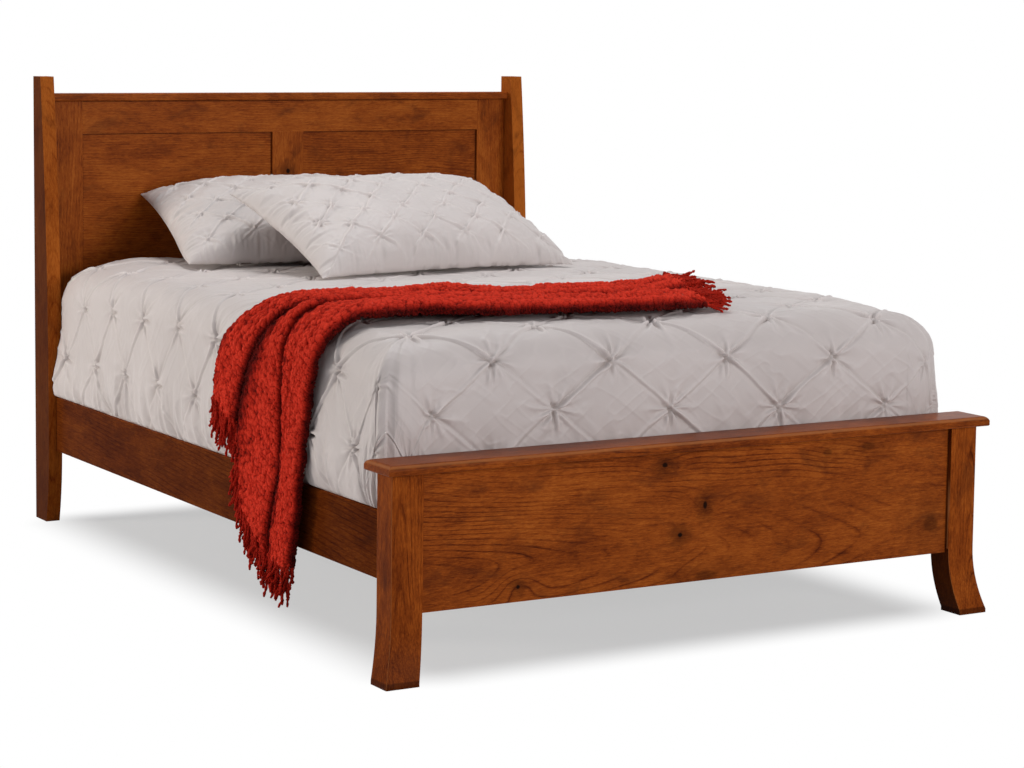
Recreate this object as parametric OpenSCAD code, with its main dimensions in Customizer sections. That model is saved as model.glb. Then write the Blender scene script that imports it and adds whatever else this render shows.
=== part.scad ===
// Queen bed with a low footboard on flared legs and a frame and panel headboard between shaped
// posts, made up with a foundation, a mattress, a tufted comforter, two pillows and a knitted throw.
// X runs across the bed, the footboard faces -Y, the headboard stands at +Y, Z rises from the floor.

/* [Overall] */
// Width over the footboard posts, above their flare
foot_w = 1660; // [1500:1:2200]
// Width over the headboard posts
head_w = 1614; // [1500:1:2200]
// Length of a side rail, from post to post
rail_l = 2083; // [1900:1:2400]
// Height of the headboard posts
head_h = 1295; // [1000:1:1500]
// Height of the underside of the footboard cap
foot_h = 474; // [420:1:560]

/* [Headboard] */
// Width of a headboard post
head_post_w = 41; // [38:1:60]
// Depth of a headboard post where the rail meets it
head_post_d = 108; // [90:1:140]
// Depth of a headboard post at its top
head_top_d = 57; // [50:1:85]
// Depth of a headboard post at the floor
head_foot_d = 84; // [60:1:90]
// Thickness of the headboard frame
frame_t = 24; // [20:1:34]
// Distance from the tops of the headboard posts down to the cap's top
head_cap_drop = 49; // [20:1:120]
// Thickness of the headboard cap
head_cap_t = 22; // [16:1:30]
// Depth of the headboard cap, front to back
head_cap_d = 45; // [30:1:48]
// Height of the headboard top rail
top_rail_h = 97; // [60:1:160]
// Height of the headboard bottom rail
bottom_rail_h = 100; // [60:1:160]
// Height of the underside of the headboard bottom rail above the floor
bottom_rail_z = 320; // [230:1:420]
// Width of a headboard stile
stile_w = 101; // [60:1:140]
// Width of the middle stile
mullion_w = 104; // [60:1:140]
// Thickness of a headboard panel
panel_t = 8; // [6:1:10]
// Depth of the grooves and length of the stub tenons
groove_d = 10; // [6:1:14]

/* [Footboard] */
// Width of a footboard post
foot_post_w = 80; // [70:1:100]
// Depth of a footboard post
foot_post_d = 70; // [60:1:90]
// How far the foot flares outward
flare_x = 25; // [5:1:40]
// How far the foot flares forward
flare_y = 27; // [5:1:40]
// Height over which the foot flares
flare_h = 165; // [100:1:200]
// Height of the plumb band at the floor
flare_band = 9; // [4:1:20]
// Share of the flare that the inner and back sides follow
flare_inner = 0.82; // [0.5:0.01:1]
// Height of the lower edge of the footboard panel
foot_panel_z = 156; // [100:1:200]
// Thickness of the footboard panel
foot_panel_t = 22; // [16:1:28]
// How far the footboard panel sits behind the posts' front faces
foot_panel_set = 11; // [4:1:20]
// Length of the footboard panel's tongue in each post
tongue_l = 12; // [6:1:20]
// Thickness of the footboard cap
cap_t = 24; // [18:1:32]
// Overhang of the footboard cap at each end
cap_end = 20; // [8:1:24]
// Overhang of the footboard cap at the front and the back
cap_over = 26; // [12:1:27]
// Radius of the cap's upper edge
cap_r_top = 13; // [6:1:14]
// Radius of the cap's lower edge
cap_r_low = 5; // [2:1:8]

/* [Rails and slats] */
// Distance between the inner faces of the side rails
rail_clear = 1526; // [1450:1:1600]
// Thickness of a side rail
rail_t = 22; // [18:1:30]
// Height of a side rail
rail_h = 156; // [120:1:200]
// Height of the lower edge of a side rail above the floor
rail_z = 211; // [180:1:260]
// Width and height of a rail cleat
cleat_w = 25; // [18:1:35]
// Distance from the end of a rail to the end of its cleat
cleat_end = 40; // [10:1:120]
// Number of slats
slat_n = 5; // [3:1:5]
// Width of a slat
slat_w = 89; // [60:1:140]
// Thickness of a slat
slat_t = 19; // [15:1:30]
// Distance from each post line to the middle of the nearest slat
slat_end = 150; // [100:1:250]
// Gap between a slat's end and the rail
slat_gap = 2; // [1:0.5:6]
// Width of a square centre leg
leg_w = 44; // [36:1:60]
// Height of a centre leg's lower end above the floor
leg_z = 24; // [18:1:40]

/* [Fittings] */
// Width of a rail hook plate
plate_w = 14; // [12:1:16]
// Height of a rail hook plate
plate_h = 127; // [110:1:140]
// Thickness of a rail hook plate
plate_t = 3; // [2:0.5:4]
// Distance from a rail's inner face to the middle of its hook plate
plate_in = 12; // [8:1:14]
// Height of one hook
hook_h = 22; // [16:1:26]
// Reach of one hook past the rail's end
hook_reach = 12; // [9:1:16]
// Spacing of the two hooks on a plate
hook_pitch = 60; // [50:1:70]
// Diameter of a screw's shank
screw_d = 4; // [3:0.5:5]
// Diameter of a screw's head
screw_head_d = 8; // [6:0.5:9]
// Length of a screw
screw_l = 26; // [18:1:28]
// Diameter of a dowel
dowel_d = 10; // [6:1:12]
// Length of a dowel
dowel_l = 32; // [20:1:44]
// Diameter of a levelling glide's stud
stud_d = 8; // [6:1:10]
// Length of a glide's stud above its foot
stud_l = 42; // [30:1:60]
// Diameter of a glide's foot
glide_d = 30; // [20:1:40]
// Height of a glide's foot
glide_h = 8; // [5:1:12]
// Diameter of the threaded insert
insert_d = 13; // [12:1:18]
// Length of the threaded insert
insert_l = 14; // [10:1:20]
// How far a glide screws into its leg
glide_travel = 12; // [4:1:14]
// Running and fitting clearance
fit = 0.3; // [0.2:0.05:0.5]

/* [Bedding] */
// Width of the mattress and the foundation
mattress_w = 1520; // [1400:1:1524]
// Length of the mattress and the foundation
mattress_l = 2030; // [1900:1:2040]
// Height of the foundation
foundation_h = 200; // [120:1:260]
// Height of the mattress
mattress_h = 281; // [200:1:320]
// Distance from the footboard posts to the mattress
mattress_set = 60; // [40:1:70]
// Radius of the mattress's corners seen from above
mattress_r = 40; // [20:1:80]
// Radius of the mattress's upper edge
mattress_edge = 75; // [40:1:80]
// Thickness of the comforter where it is sewn through
quilt_t = 18; // [12:1:24]
// Rise of the comforter's puffs over its sewn points
puff_h = 14; // [6:1:20]
// Radius of the comforter's shoulder
shoulder_r = 95; // [60:1:120]
// Distance between the mattress's side and the comforter's sewn face
quilt_side = 26; // [16:1:30]
// How far the comforter's side swells over its hem
quilt_swell = 12; // [4:1:16]
// Length of a pillow
pillow_l = 845; // [600:1:900]
// Depth of a pillow
pillow_d = 520; // [420:1:600]
// Thickness of a pillow
pillow_t = 215; // [120:1:240]
// Thickness of the throw between its folds
throw_t = 8; // [5:1:16]
// Height of the throw's folds
throw_fold = 20; // [10:1:28]

/* [Hidden] */
$fn = 48;

wood = [0.49, 0.22, 0.09];
wood_dark = [0.38, 0.16, 0.07];
pine = [0.80, 0.66, 0.46];
steel = [0.62, 0.63, 0.65];
plastic = [0.12, 0.12, 0.12];
ticking = [0.88, 0.87, 0.84];
cotton = [0.82, 0.80, 0.79];
red_knit = [0.78, 0.10, 0.07];

// Places along the bed, from the flared toes to the backs of the headboard posts
front_reach = max(flare_y, cap_over);
total_y = front_reach + foot_post_d + rail_l + head_post_d;
foot_front_y = front_reach - total_y / 2;
foot_back_y = foot_front_y + foot_post_d;
head_front_y = foot_back_y + rail_l;
head_back_y = head_front_y + head_post_d;

// Places across the bed
foot_out_x = foot_w / 2;
foot_in_x = foot_out_x - foot_post_w;
head_out_x = head_w / 2;
head_in_x = head_out_x - head_post_w;
rail_in_x = rail_clear / 2;
rail_out_x = rail_in_x + rail_t;
plate_x = rail_in_x + plate_in;

// Heights
rail_top = rail_z + rail_h;
cleat_top = rail_z + cleat_w;
slat_top = cleat_top + slat_t;
foundation_top = slat_top + foundation_h;
mattress_top = foundation_top + mattress_h;
plate_z = rail_z + rail_h / 2;
cap_top = foot_h + cap_t;

// Headboard frame
head_cap_z = head_h - head_cap_drop;
frame_front_y = head_back_y - frame_t;
frame_mid_y = head_back_y - frame_t / 2;
top_rail_z = head_cap_z - head_cap_t - top_rail_h;
panel_low_z = bottom_rail_z + bottom_rail_h;
stile_in_x = head_in_x - stile_w;
mullion_x = mullion_w / 2;
tongue_t = panel_t;

// Footboard panel
foot_panel_y = foot_front_y + foot_panel_set;
foot_panel_mid_y = foot_panel_y + foot_panel_t / 2;
foot_tongue_t = foot_panel_t / 2;

// Glide and insert
stud_top = glide_h + stud_l;

// Mattress
mattress_x = mattress_w / 2;
mattress_y0 = foot_back_y + mattress_set;
mattress_y1 = mattress_y0 + mattress_l;

// A curve's share of its full offset, easing out from 0 at one end to 1 at the other
function ease(s) = s * s;

// Mirrored copies for the right side and the left side
module side_of(side) {
    mirror([side < 0 ? 1 : 0, 0, 0]) children();
}

// A block between two corners
module block(low, high) {
    translate(low) cube(high - low);
}

// An outline drawn as [y, z] and stretched across from x0 to x1
module stretch_x(x0, x1) {
    translate([x0, 0, 0]) rotate([90, 0, 90]) linear_extrude(height = x1 - x0) children();
}

// An outline drawn as [x, z] and stretched along from y0 to y1
module stretch_y(y0, y1) {
    translate([0, y1, 0]) rotate([90, 0, 0]) linear_extrude(height = y1 - y0) children();
}

// Headboard post, seen from the side: depth of the post at a height
function head_depth(z) =
    z > rail_top ? head_post_d - (head_post_d - head_top_d) * ease((z - rail_top) / (head_h - rail_top)) :
    z < rail_z ? head_post_d - (head_post_d - head_foot_d) * ease((rail_z - z) / rail_z) :
    head_post_d;

head_steps = 14;
foot_steps = 5;
head_levels = concat(
    [for (k = [0 : foot_steps - 1]) rail_z * k / foot_steps],
    [rail_z],
    [for (k = [0 : head_steps]) rail_top + (head_h - rail_top) * k / head_steps]
);

// Corners of a hook's pocket in a post, behind the slotted plate
pocket_w = plate_w - 6;
pocket_h = hook_h + 14;
pocket_d = hook_reach + 2;
slot_w = plate_t + 1.5;
slot_h = hook_h + 8;

// Room in a post for one slotted plate, its two pockets and its two screws. The post's face is at y
// and dir points out of the post.
module socket_room(y, dir) {
    depth = plate_t + fit;
    translate([plate_x, y - dir * (depth / 2 - 0.5), plate_z])
        cube([plate_w + 2 * fit, depth + 1, plate_h + 2 * fit], center = true);
    for (s = [-1, 1])
        translate([plate_x, y - dir * (plate_t + pocket_d / 2), plate_z + s * hook_pitch / 2])
            cube([pocket_w, pocket_d + 1, pocket_h], center = true);
    for (z = screw_levels)
        translate([plate_x, y, z]) rotate([dir * 90, 0, 0])
            cylinder(h = screw_l + 2, d = screw_d + 2 * fit);
}

// Heights of the screws in a hook plate and in a slotted plate
screw_levels = [plate_z - plate_h / 2 + 8, plate_z + plate_h / 2 - 8];

module headboard_post_solid() {
    difference() {
        stretch_x(head_in_x, head_out_x) polygon(concat(
            [for (z = head_levels) [head_back_y - head_depth(z), z]],
            [[head_back_y, head_h], [head_back_y, 0]]
        ));
        block(
            [head_in_x - 1, frame_mid_y - tongue_t / 2 - fit, bottom_rail_z - fit],
            [head_in_x + groove_d + fit, frame_mid_y + tongue_t / 2 + fit, head_cap_z - head_cap_t + fit]
        );
        socket_room(head_front_y, -1);
    }
}

module headboard_post_left() {
    color(wood) side_of(-1) headboard_post_solid();
}

module headboard_post_right() {
    color(wood) side_of(1) headboard_post_solid();
}

// A headboard rail between the stiles, with stub tenons and a panel groove along one edge
module headboard_rail(z0, z1, groove_z, groove_up) {
    difference() {
        union() {
            block([-stile_in_x, frame_front_y, z0], [stile_in_x, head_back_y, z1]);
            for (s = [-1, 1])
                translate([s * (stile_in_x + (groove_d - fit) / 2), frame_mid_y, (z0 + z1) / 2])
                    cube([groove_d - fit, tongue_t, z1 - z0], center = true);
        }
        translate([0, frame_mid_y, groove_z + groove_up * groove_d / 2])
            cube([2 * stile_in_x + 2 * groove_d + 2, panel_t + 2 * fit, groove_d + fit], center = true);
    }
}

module headboard_top_rail() {
    color(wood) headboard_rail(top_rail_z, head_cap_z - head_cap_t, top_rail_z, 1);
}

module headboard_bottom_rail() {
    color(wood) headboard_rail(bottom_rail_z, panel_low_z, panel_low_z, -1);
}

module headboard_stile_solid() {
    difference() {
        union() {
            block([stile_in_x, frame_front_y, bottom_rail_z], [head_in_x, head_back_y, head_cap_z - head_cap_t]);
            block(
                [head_in_x - 1, frame_mid_y - tongue_t / 2, bottom_rail_z],
                [head_in_x + groove_d, frame_mid_y + tongue_t / 2, head_cap_z - head_cap_t]
            );
        }
        block(
            [stile_in_x - 1, frame_mid_y - tongue_t / 2 - fit, bottom_rail_z - 1],
            [stile_in_x + groove_d + fit, frame_mid_y + tongue_t / 2 + fit, head_cap_z]
        );
    }
}

module headboard_stile_left() {
    color(wood) side_of(-1) headboard_stile_solid();
}

module headboard_stile_right() {
    color(wood) side_of(1) headboard_stile_solid();
}

module headboard_mullion() {
    color(wood) union() {
        difference() {
            block([-mullion_x, frame_front_y, panel_low_z], [mullion_x, head_back_y, top_rail_z]);
            for (s = [-1, 1])
                translate([s * mullion_x, frame_mid_y, (panel_low_z + top_rail_z) / 2])
                    cube([2 * groove_d, panel_t + 2 * fit, top_rail_z - panel_low_z + 2], center = true);
        }
        translate([0, frame_mid_y, (panel_low_z + top_rail_z) / 2])
            cube([mullion_w - 2 * groove_d, tongue_t, top_rail_z - panel_low_z + 2 * groove_d - 2 * fit], center = true);
    }
}

module headboard_panel_solid() {
    block(
        [mullion_x - groove_d + fit, frame_mid_y - panel_t / 2, panel_low_z - groove_d + fit],
        [stile_in_x + groove_d - fit, frame_mid_y + panel_t / 2, top_rail_z + groove_d - fit]
    );
}

module headboard_panel_left() {
    color(wood_dark) side_of(-1) headboard_panel_solid();
}

module headboard_panel_right() {
    color(wood_dark) side_of(1) headboard_panel_solid();
}

// Outline of a board's edge from its underside to its top: a small lower round, a plumb face and a
// larger upper round. It is drawn for an edge at u with its inside towards smaller u.
function edge_profile(u, z0, z1, r_low, r_top, steps) = concat(
    [for (k = [0 : steps]) let (a = 90 * k / steps) [u - r_low + r_low * sin(a), z0 + r_low - r_low * cos(a)]],
    [for (k = [0 : steps]) let (a = 90 * k / steps) [u - r_top + r_top * cos(a), z1 - r_top + r_top * sin(a)]]
);

function flip(points) = [for (k = [len(points) - 1 : -1 : 0]) [-points[k][0], points[k][1]]];

function shift(points, du) = [for (p = points) [p[0] + du, p[1]]];

round_steps = 6;

module headboard_cap() {
    half_d = head_cap_d / 2;
    low = head_cap_z - head_cap_t;
    edge = edge_profile(half_d, low, head_cap_z, 3, 6, round_steps);
    color(wood) stretch_x(-head_in_x, head_in_x)
        polygon(shift(concat(edge, flip(edge)), head_back_y - half_d));
}

// Flare of a footboard post at a height: 1 at the floor, 0 from flare_h up
function flare(z) =
    z <= flare_band ? 1 :
    z >= flare_h ? 0 :
    ease((flare_h - z) / (flare_h - flare_band));

flare_steps = 9;
flare_levels = concat(
    [0],
    [for (k = [0 : flare_steps]) flare_band + (flare_h - flare_band) * k / flare_steps],
    [foot_h]
);

module footboard_post_solid() {
    outer = [for (z = flare_levels) [foot_out_x + flare_x * flare(z), z]];
    inner = [for (k = [len(flare_levels) - 1 : -1 : 0]) let (z = flare_levels[k])
        [foot_in_x + flare_inner * flare_x * flare(z), z]];
    front = [for (z = flare_levels) [foot_front_y - flare_y * flare(z), z]];
    back = [for (k = [len(flare_levels) - 1 : -1 : 0]) let (z = flare_levels[k])
        [foot_back_y - flare_inner * flare_y * flare(z), z]];
    difference() {
        intersection() {
            stretch_y(foot_front_y - flare_y - 1, foot_back_y + 1) polygon(concat(outer, inner));
            stretch_x(foot_in_x - 1, foot_out_x + flare_x + 1) polygon(concat(front, back));
        }
        block(
            [foot_in_x - 1, foot_panel_mid_y - foot_tongue_t / 2 - fit, foot_panel_z - fit],
            [foot_in_x + tongue_l + fit, foot_panel_mid_y + foot_tongue_t / 2 + fit, foot_h + 1]
        );
        dowel_holes();
        socket_room(foot_back_y, 1);
    }
}

// The cap's dowels stand in the posts' tops, clear of the hook sockets and the panel's tongue
dowel_pitch = 32;
dowel_y = foot_back_y - foot_post_d / 2;

module dowel_at(s, d, l) {
    translate([foot_out_x - foot_post_w / 2 + 8 + s * dowel_pitch / 2, dowel_y, foot_h]) cylinder(h = l, d = d, center = true);
}

module dowel_holes() {
    for (s = [-1, 1]) dowel_at(s, dowel_d + fit, dowel_l + 2 * fit);
}

module footboard_post_left() {
    color(wood) side_of(-1) footboard_post_solid();
}

module footboard_post_right() {
    color(wood) side_of(1) footboard_post_solid();
}

module footboard_panel() {
    color(wood) union() {
        block([-foot_in_x, foot_panel_y, foot_panel_z], [foot_in_x, foot_panel_y + foot_panel_t, foot_h]);
        for (s = [-1, 1])
            translate([s * (foot_in_x + tongue_l / 2), foot_panel_mid_y, (foot_panel_z + foot_h) / 2])
                cube([tongue_l, foot_tongue_t, foot_h - foot_panel_z], center = true);
    }
}

module footboard_cap() {
    half_x = foot_out_x + cap_end;
    half_y = foot_post_d / 2 + cap_over;
    mid_y = foot_front_y + foot_post_d / 2;
    long_edge = edge_profile(half_y, foot_h, cap_top, cap_r_low, cap_r_top, round_steps);
    end_edge = edge_profile(half_x, foot_h, cap_top, cap_r_low, cap_r_top, round_steps);
    color(wood) difference() {
        intersection() {
            stretch_x(-half_x - 1, half_x + 1) polygon(shift(concat(long_edge, flip(long_edge)), mid_y));
            stretch_y(mid_y - half_y - 1, mid_y + half_y + 1) polygon(concat(end_edge, flip(end_edge)));
        }
        for (side = [-1, 1]) side_of(side) dowel_holes();
    }
}

module cap_dowels() {
    color(pine) for (side = [-1, 1]) side_of(side) for (s = [-1, 1]) dowel_at(s, dowel_d, dowel_l);
}

// A hook plate's room in a rail's end, with its two screw holes
module hook_plate_room(y, dir) {
    translate([plate_x, y - dir * (plate_t / 2 - 0.5), plate_z])
        cube([plate_w + 2 * fit, plate_t + 1 + fit, plate_h + 2 * fit], center = true);
    for (z = screw_levels)
        translate([plate_x, y, z]) rotate([dir * 90, 0, 0])
            cylinder(h = screw_l + 2, d = screw_d + 2 * fit);
}

module side_rail_solid() {
    difference() {
        block([rail_in_x, foot_back_y, rail_z], [rail_out_x, head_front_y, rail_top]);
        hook_plate_room(foot_back_y, -1);
        hook_plate_room(head_front_y, 1);
    }
}

module side_rail_left() {
    color(wood) side_of(-1) side_rail_solid();
}

module side_rail_right() {
    color(wood) side_of(1) side_rail_solid();
}

module rail_cleat_solid() {
    difference() {
        block(
            [rail_in_x - cleat_w, foot_back_y + cleat_end, rail_z],
            [rail_in_x, head_front_y - cleat_end, cleat_top]
        );
        for (y = slat_rows)
            translate([slat_screw_x, y, cleat_top - slat_screw_bite - 1])
                cylinder(h = slat_screw_bite + 2, d = screw_d + 2 * fit);
    }
}

module rail_cleat_left() {
    color(pine) side_of(-1) rail_cleat_solid();
}

module rail_cleat_right() {
    color(pine) side_of(1) rail_cleat_solid();
}

// A countersunk screw, head up at the origin and shank down
module screw(length) {
    head = (screw_head_d - screw_d) / 2;
    rotate_extrude() polygon([
        [0, 0], [screw_head_d / 2, 0], [screw_d / 2, -head], [screw_d / 2, -length + 2], [0, -length]
    ]);
}

// One screw hole through a plate that lies against y, countersunk on the side that dir points to
module plate_hole(y, dir, z) {
    head = (screw_head_d - screw_d) / 2;
    translate([plate_x, y, z]) rotate([-dir * 90, 0, 0]) rotate_extrude() polygon([
        [0, 0.01], [screw_head_d / 2 + 2 * fit, 0.01], [screw_d / 2 + fit, -head - fit],
        [screw_d / 2 + fit, -plate_t - 1],
        [0, -plate_t - 1]
    ]);
}

// The outline of one hook, drawn as [reach, z]: it reaches out over the slot's lower edge and down
hook_neck = hook_h * 0.6;
hook_drop = hook_h - hook_neck;
hook_shape = [
    [0, 0], [plate_t + 2 * fit + 0.5, 0], [plate_t + 2 * fit + 0.5, -hook_drop], [hook_reach - 2, -hook_drop],
    [hook_reach, -hook_drop + 2], [hook_reach, hook_neck - 4], [hook_reach - 4, hook_neck], [0, hook_neck]
];

// A hook plate at a rail's end. The hooks reach out of the rail, towards dir.
module hook_plate(y, dir) {
    difference() {
        union() {
            translate([plate_x, y - dir * plate_t / 2, plate_z]) cube([plate_w, plate_t, plate_h], center = true);
            for (s = [-1, 1])
                translate([plate_x + (dir > 0 ? -plate_t : plate_t) / 2, y, plate_z + s * hook_pitch / 2])
                    rotate([0, 0, dir * 90]) rotate([90, 0, 0])
                        linear_extrude(height = plate_t) polygon(concat([[-1, hook_neck], [-1, 0]], hook_shape));
        }
        for (z = screw_levels) plate_hole(y, dir, z);
    }
}

module rail_hooks() {
    color(steel) for (side = [-1, 1]) side_of(side) {
        hook_plate(foot_back_y, -1);
        hook_plate(head_front_y, 1);
    }
}

// A slotted plate let into a post's face. dir points out of the post.
module hook_socket(y, dir) {
    difference() {
        translate([plate_x, y - dir * plate_t / 2, plate_z]) cube([plate_w, plate_t, plate_h], center = true);
        for (s = [-1, 1])
            translate([plate_x, y, plate_z + s * hook_pitch / 2 + (hook_neck - hook_drop) / 2 - 1])
                cube([slot_w, 4 * plate_t, slot_h], center = true);
        for (z = screw_levels) plate_hole(y, dir, z);
    }
}

module hook_sockets() {
    color(steel) for (side = [-1, 1]) side_of(side) {
        hook_socket(foot_back_y, 1);
        hook_socket(head_front_y, -1);
    }
}

// The screws of the hook plates and of the slotted plates, a pair head to head at each level
module plate_screws() {
    color(steel) for (side = [-1, 1]) side_of(side) for (y = [foot_back_y, head_front_y], dir = [-1, 1], z = screw_levels)
        translate([plate_x, y - dir * fit, z]) rotate([-dir * 90, 0, 0]) screw(screw_l);
}

// Middles of the slats along the bed
slat_rows = [for (k = [0 : slat_n - 1])
    foot_back_y + slat_end + (rail_l - 2 * slat_end) * k / (slat_n - 1)];
slat_half_l = rail_in_x - slat_gap;
slat_screw_x = rail_in_x - cleat_w / 2;
slat_screw_l = slat_t + 15;
slat_screw_bite = slat_screw_l - slat_t;

// Slat number k, with its two countersunk screw holes
module slat(k) {
    head = (screw_head_d - screw_d) / 2;
    if (k < slat_n) color(pine) difference() {
        block([-slat_half_l, slat_rows[k] - slat_w / 2, cleat_top], [slat_half_l, slat_rows[k] + slat_w / 2, slat_top]);
        for (s = [-1, 1]) translate([s * slat_screw_x, slat_rows[k], slat_top]) rotate_extrude() polygon([
            [0, 0.01], [screw_head_d / 2 + 2 * fit, 0.01], [screw_d / 2 + fit, -head - 2 * fit],
            [screw_d / 2 + fit, -slat_t - 1], [0, -slat_t - 1]
        ]);
    }
}

module slat_1() { slat(0); }
module slat_2() { slat(1); }
module slat_3() { slat(2); }
module slat_4() { slat(3); }
module slat_5() { slat(4); }

module slat_screws() {
    color(steel) for (y = slat_rows, s = [-1, 1])
        translate([s * slat_screw_x, y, slat_top - fit]) screw(slat_screw_l - 1);
}

// The centre legs stand under the slats between the first and the last
leg_rows = [for (k = [1 : slat_n - 2]) slat_rows[k]];

// Centre leg number k, bored from below for its insert and for the glide's stud
module centre_leg(k) {
    if (k < len(leg_rows)) color(pine) difference() {
        translate([0, leg_rows[k], (leg_z + cleat_top) / 2])
            cube([leg_w, leg_w, cleat_top - leg_z], center = true);
        translate([0, leg_rows[k], leg_z - 1]) cylinder(h = insert_l + 1 + fit, d = insert_d + fit);
        translate([0, leg_rows[k], leg_z]) cylinder(h = stud_top + glide_travel + 4 - leg_z, d = stud_d + 2 * fit);
    }
}

module centre_leg_1() { centre_leg(0); }
module centre_leg_2() { centre_leg(1); }
module centre_leg_3() { centre_leg(2); }

module leg_inserts() {
    color(steel) for (y = leg_rows) translate([0, y, leg_z]) difference() {
        cylinder(h = insert_l, d = insert_d);
        translate([0, 0, -1]) cylinder(h = insert_l + 2, d = stud_d + 2 * fit);
    }
}

// Levelling glide number k: a round foot with a softened edge, and a stud
module glide(k) {
    foot_r = glide_d / 2;
    stud_r = stud_d / 2;
    if (k < len(leg_rows)) color(plastic) translate([0, leg_rows[k], 0]) rotate_extrude() polygon([
        [0, 0], [foot_r - 1.5, 0], [foot_r, 1.5], [foot_r, glide_h - 3], [foot_r - 3, glide_h], [stud_r, glide_h],
        [stud_r, stud_top - 1], [stud_r - 1, stud_top], [0, stud_top]
    ]);
}

module glide_1() { glide(0); }
module glide_2() { glide(1); }
module glide_3() { glide(2); }

// A block for the foundation and the mattress, with rounds seen from above and along its edges
module upholstered_block(z0, z1, r_low, r_top) {
    half_y = mattress_l / 2;
    mid_y = (mattress_y0 + mattress_y1) / 2;
    side = edge_profile(mattress_x, z0, z1, r_low, r_top, round_steps);
    end = edge_profile(half_y, z0, z1, r_low, r_top, round_steps);
    intersection() {
        union() {
            block([-mattress_x + mattress_r, mattress_y0, z0], [mattress_x - mattress_r, mattress_y1, z1]);
            block([-mattress_x, mattress_y0 + mattress_r, z0], [mattress_x, mattress_y1 - mattress_r, z1]);
            for (sx = [-1, 1], y = [mattress_y0 + mattress_r, mattress_y1 - mattress_r])
                translate([sx * (mattress_x - mattress_r), y, z0]) cylinder(h = z1 - z0, r = mattress_r);
        }
        stretch_y(mattress_y0 - 1, mattress_y1 + 1) polygon(concat(side, flip(side)));
        stretch_x(-mattress_x - 1, mattress_x + 1) polygon(shift(concat(end, flip(end)), mid_y));
    }
}

module foundation() {
    color(ticking) upholstered_block(slat_top + fit, foundation_top, 6, 6);
}

module mattress() {
    color(ticking) upholstered_block(foundation_top + fit, mattress_top, 25, mattress_edge);
}

// Comforter. It is one rectangular cloth: columns run across the bed from the left hem to the right
// hem, rows run from the foot hem to the head end. Tufts sit four columns and four rows apart, and
// in the middles of those rectangles. The shift sets where the first of them fall.
quilt_cols = 28;
quilt_rows = 40;
tuft_col = 1;
tuft_row = -1;
quilt_top = mattress_top + fit + quilt_t;
quilt_x = mattress_x + quilt_side;
quilt_foot_y = mattress_y0 - quilt_t + fit;
quilt_head_y = head_front_y - 6;
quilt_crown = 8;
corner_square = 1.25;
hem_z = rail_top + 2 * fit;
hem_in = 11;
bend_l = shoulder_r * PI / 2;
drop_l = quilt_top - shoulder_r - hem_z;
flat_x = quilt_x - shoulder_r;
flat_foot_y = quilt_foot_y + shoulder_r;
half_cloth = flat_x + bend_l + drop_l;
cloth_l = drop_l + bend_l + quilt_head_y - flat_foot_y;

// Rise of a puff over the sewn points, from 0 at a tuft to 1 in the middle of a diamond
function puff(i, j) =
    let (a = abs(sin(45 * (i + j))), b = abs(sin(45 * (i - j))))
    0.65 * pow(a * b, 0.6) + 0.35 * max(a, b);

// Distance out from the flat top's edge and height, for a length of cloth past that edge, and the
// way out from the cloth there
function bend_out(s) = s <= 0 ? 0 : s >= bend_l ? shoulder_r : shoulder_r * sin(90 * s / bend_l);
function bend_z(s) =
    s <= 0 ? quilt_top :
    s >= bend_l ? quilt_top - shoulder_r - (s - bend_l) :
    quilt_top - shoulder_r * (1 - cos(90 * s / bend_l));
function bend_tilt(s) = s <= 0 ? 0 : s >= bend_l ? 90 : 90 * s / bend_l;
function drop_swell(d) =
    let (f = d / drop_l)
    quilt_swell * sin(180 * pow(f, 0.8)) - hem_in * pow(f, 6);

// A point of the comforter's upper face
function quilt_point(i, j) =
    let (
        across = -half_cloth + 2 * half_cloth * i / quilt_cols,
        along = cloth_l * (1 - j / quilt_rows),
        s = max(0, abs(across) - flat_x),
        t = max(0, along - (quilt_head_y - flat_foot_y)),
        past = max(s, t),
        turn = past == 0 ? 0 : t <= s ? 45 * t / s : 90 - 45 * s / t,
        side = across < 0 ? -1 : 1,
        way_x = side * (s == 0 ? 0 : t == 0 ? 1 : min(1, corner_square * cos(turn))),
        way_y = t == 0 ? 0 : s == 0 ? -1 : -min(1, corner_square * sin(turn)),
        at_x = side * min(abs(across), flat_x),
        at_y = quilt_head_y - min(along, quilt_head_y - flat_foot_y),
        hem = past >= bend_l + drop_l - 0.01,
        at_head = j == quilt_rows,
        gathered = s > 0 && t > 0 ? 0.3 : 1,
        rise = hem ? 0 : puff_h * puff(i + tuft_col, j + tuft_row) * gathered * (past > bend_l ? (t > s ? 0.5 : 0.7) : 1),
        swell = past > bend_l ? drop_swell(past - bend_l) * (t > s ? 0.3 : 1) : 0,
        crown = past > 0 ? 0 : quilt_crown * cos(90 * across / flat_x) * sin(180 * min(along / cloth_l + 0.1, 1)),
        out = bend_out(past) + swell + rise * sin(bend_tilt(past)),
        up = bend_z(past) + crown + rise * cos(bend_tilt(past))
    )
    [at_x + way_x * out, at_head ? quilt_head_y : at_y + way_y * out, hem ? hem_z : up];

// The comforter's lower face: it follows the mattress's upper edge in two steps and drops plumb
lining_r = mattress_edge * 0.8;
lining_out = [for (a = [0, 45, 90]) [lining_r * sin(a), lining_r * (1 - cos(a))]];
lining_x = mattress_x + fit - lining_r;
lining_foot_y = mattress_y0 - fit + lining_r;
lining_z = mattress_top + fit;
lining_drop = [for (p = lining_out) lining_z - p[1], hem_z];
lining_reach = [for (p = lining_out) p[0], lining_r];
lining_cols = 7;
lining_rows = 4;

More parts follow.
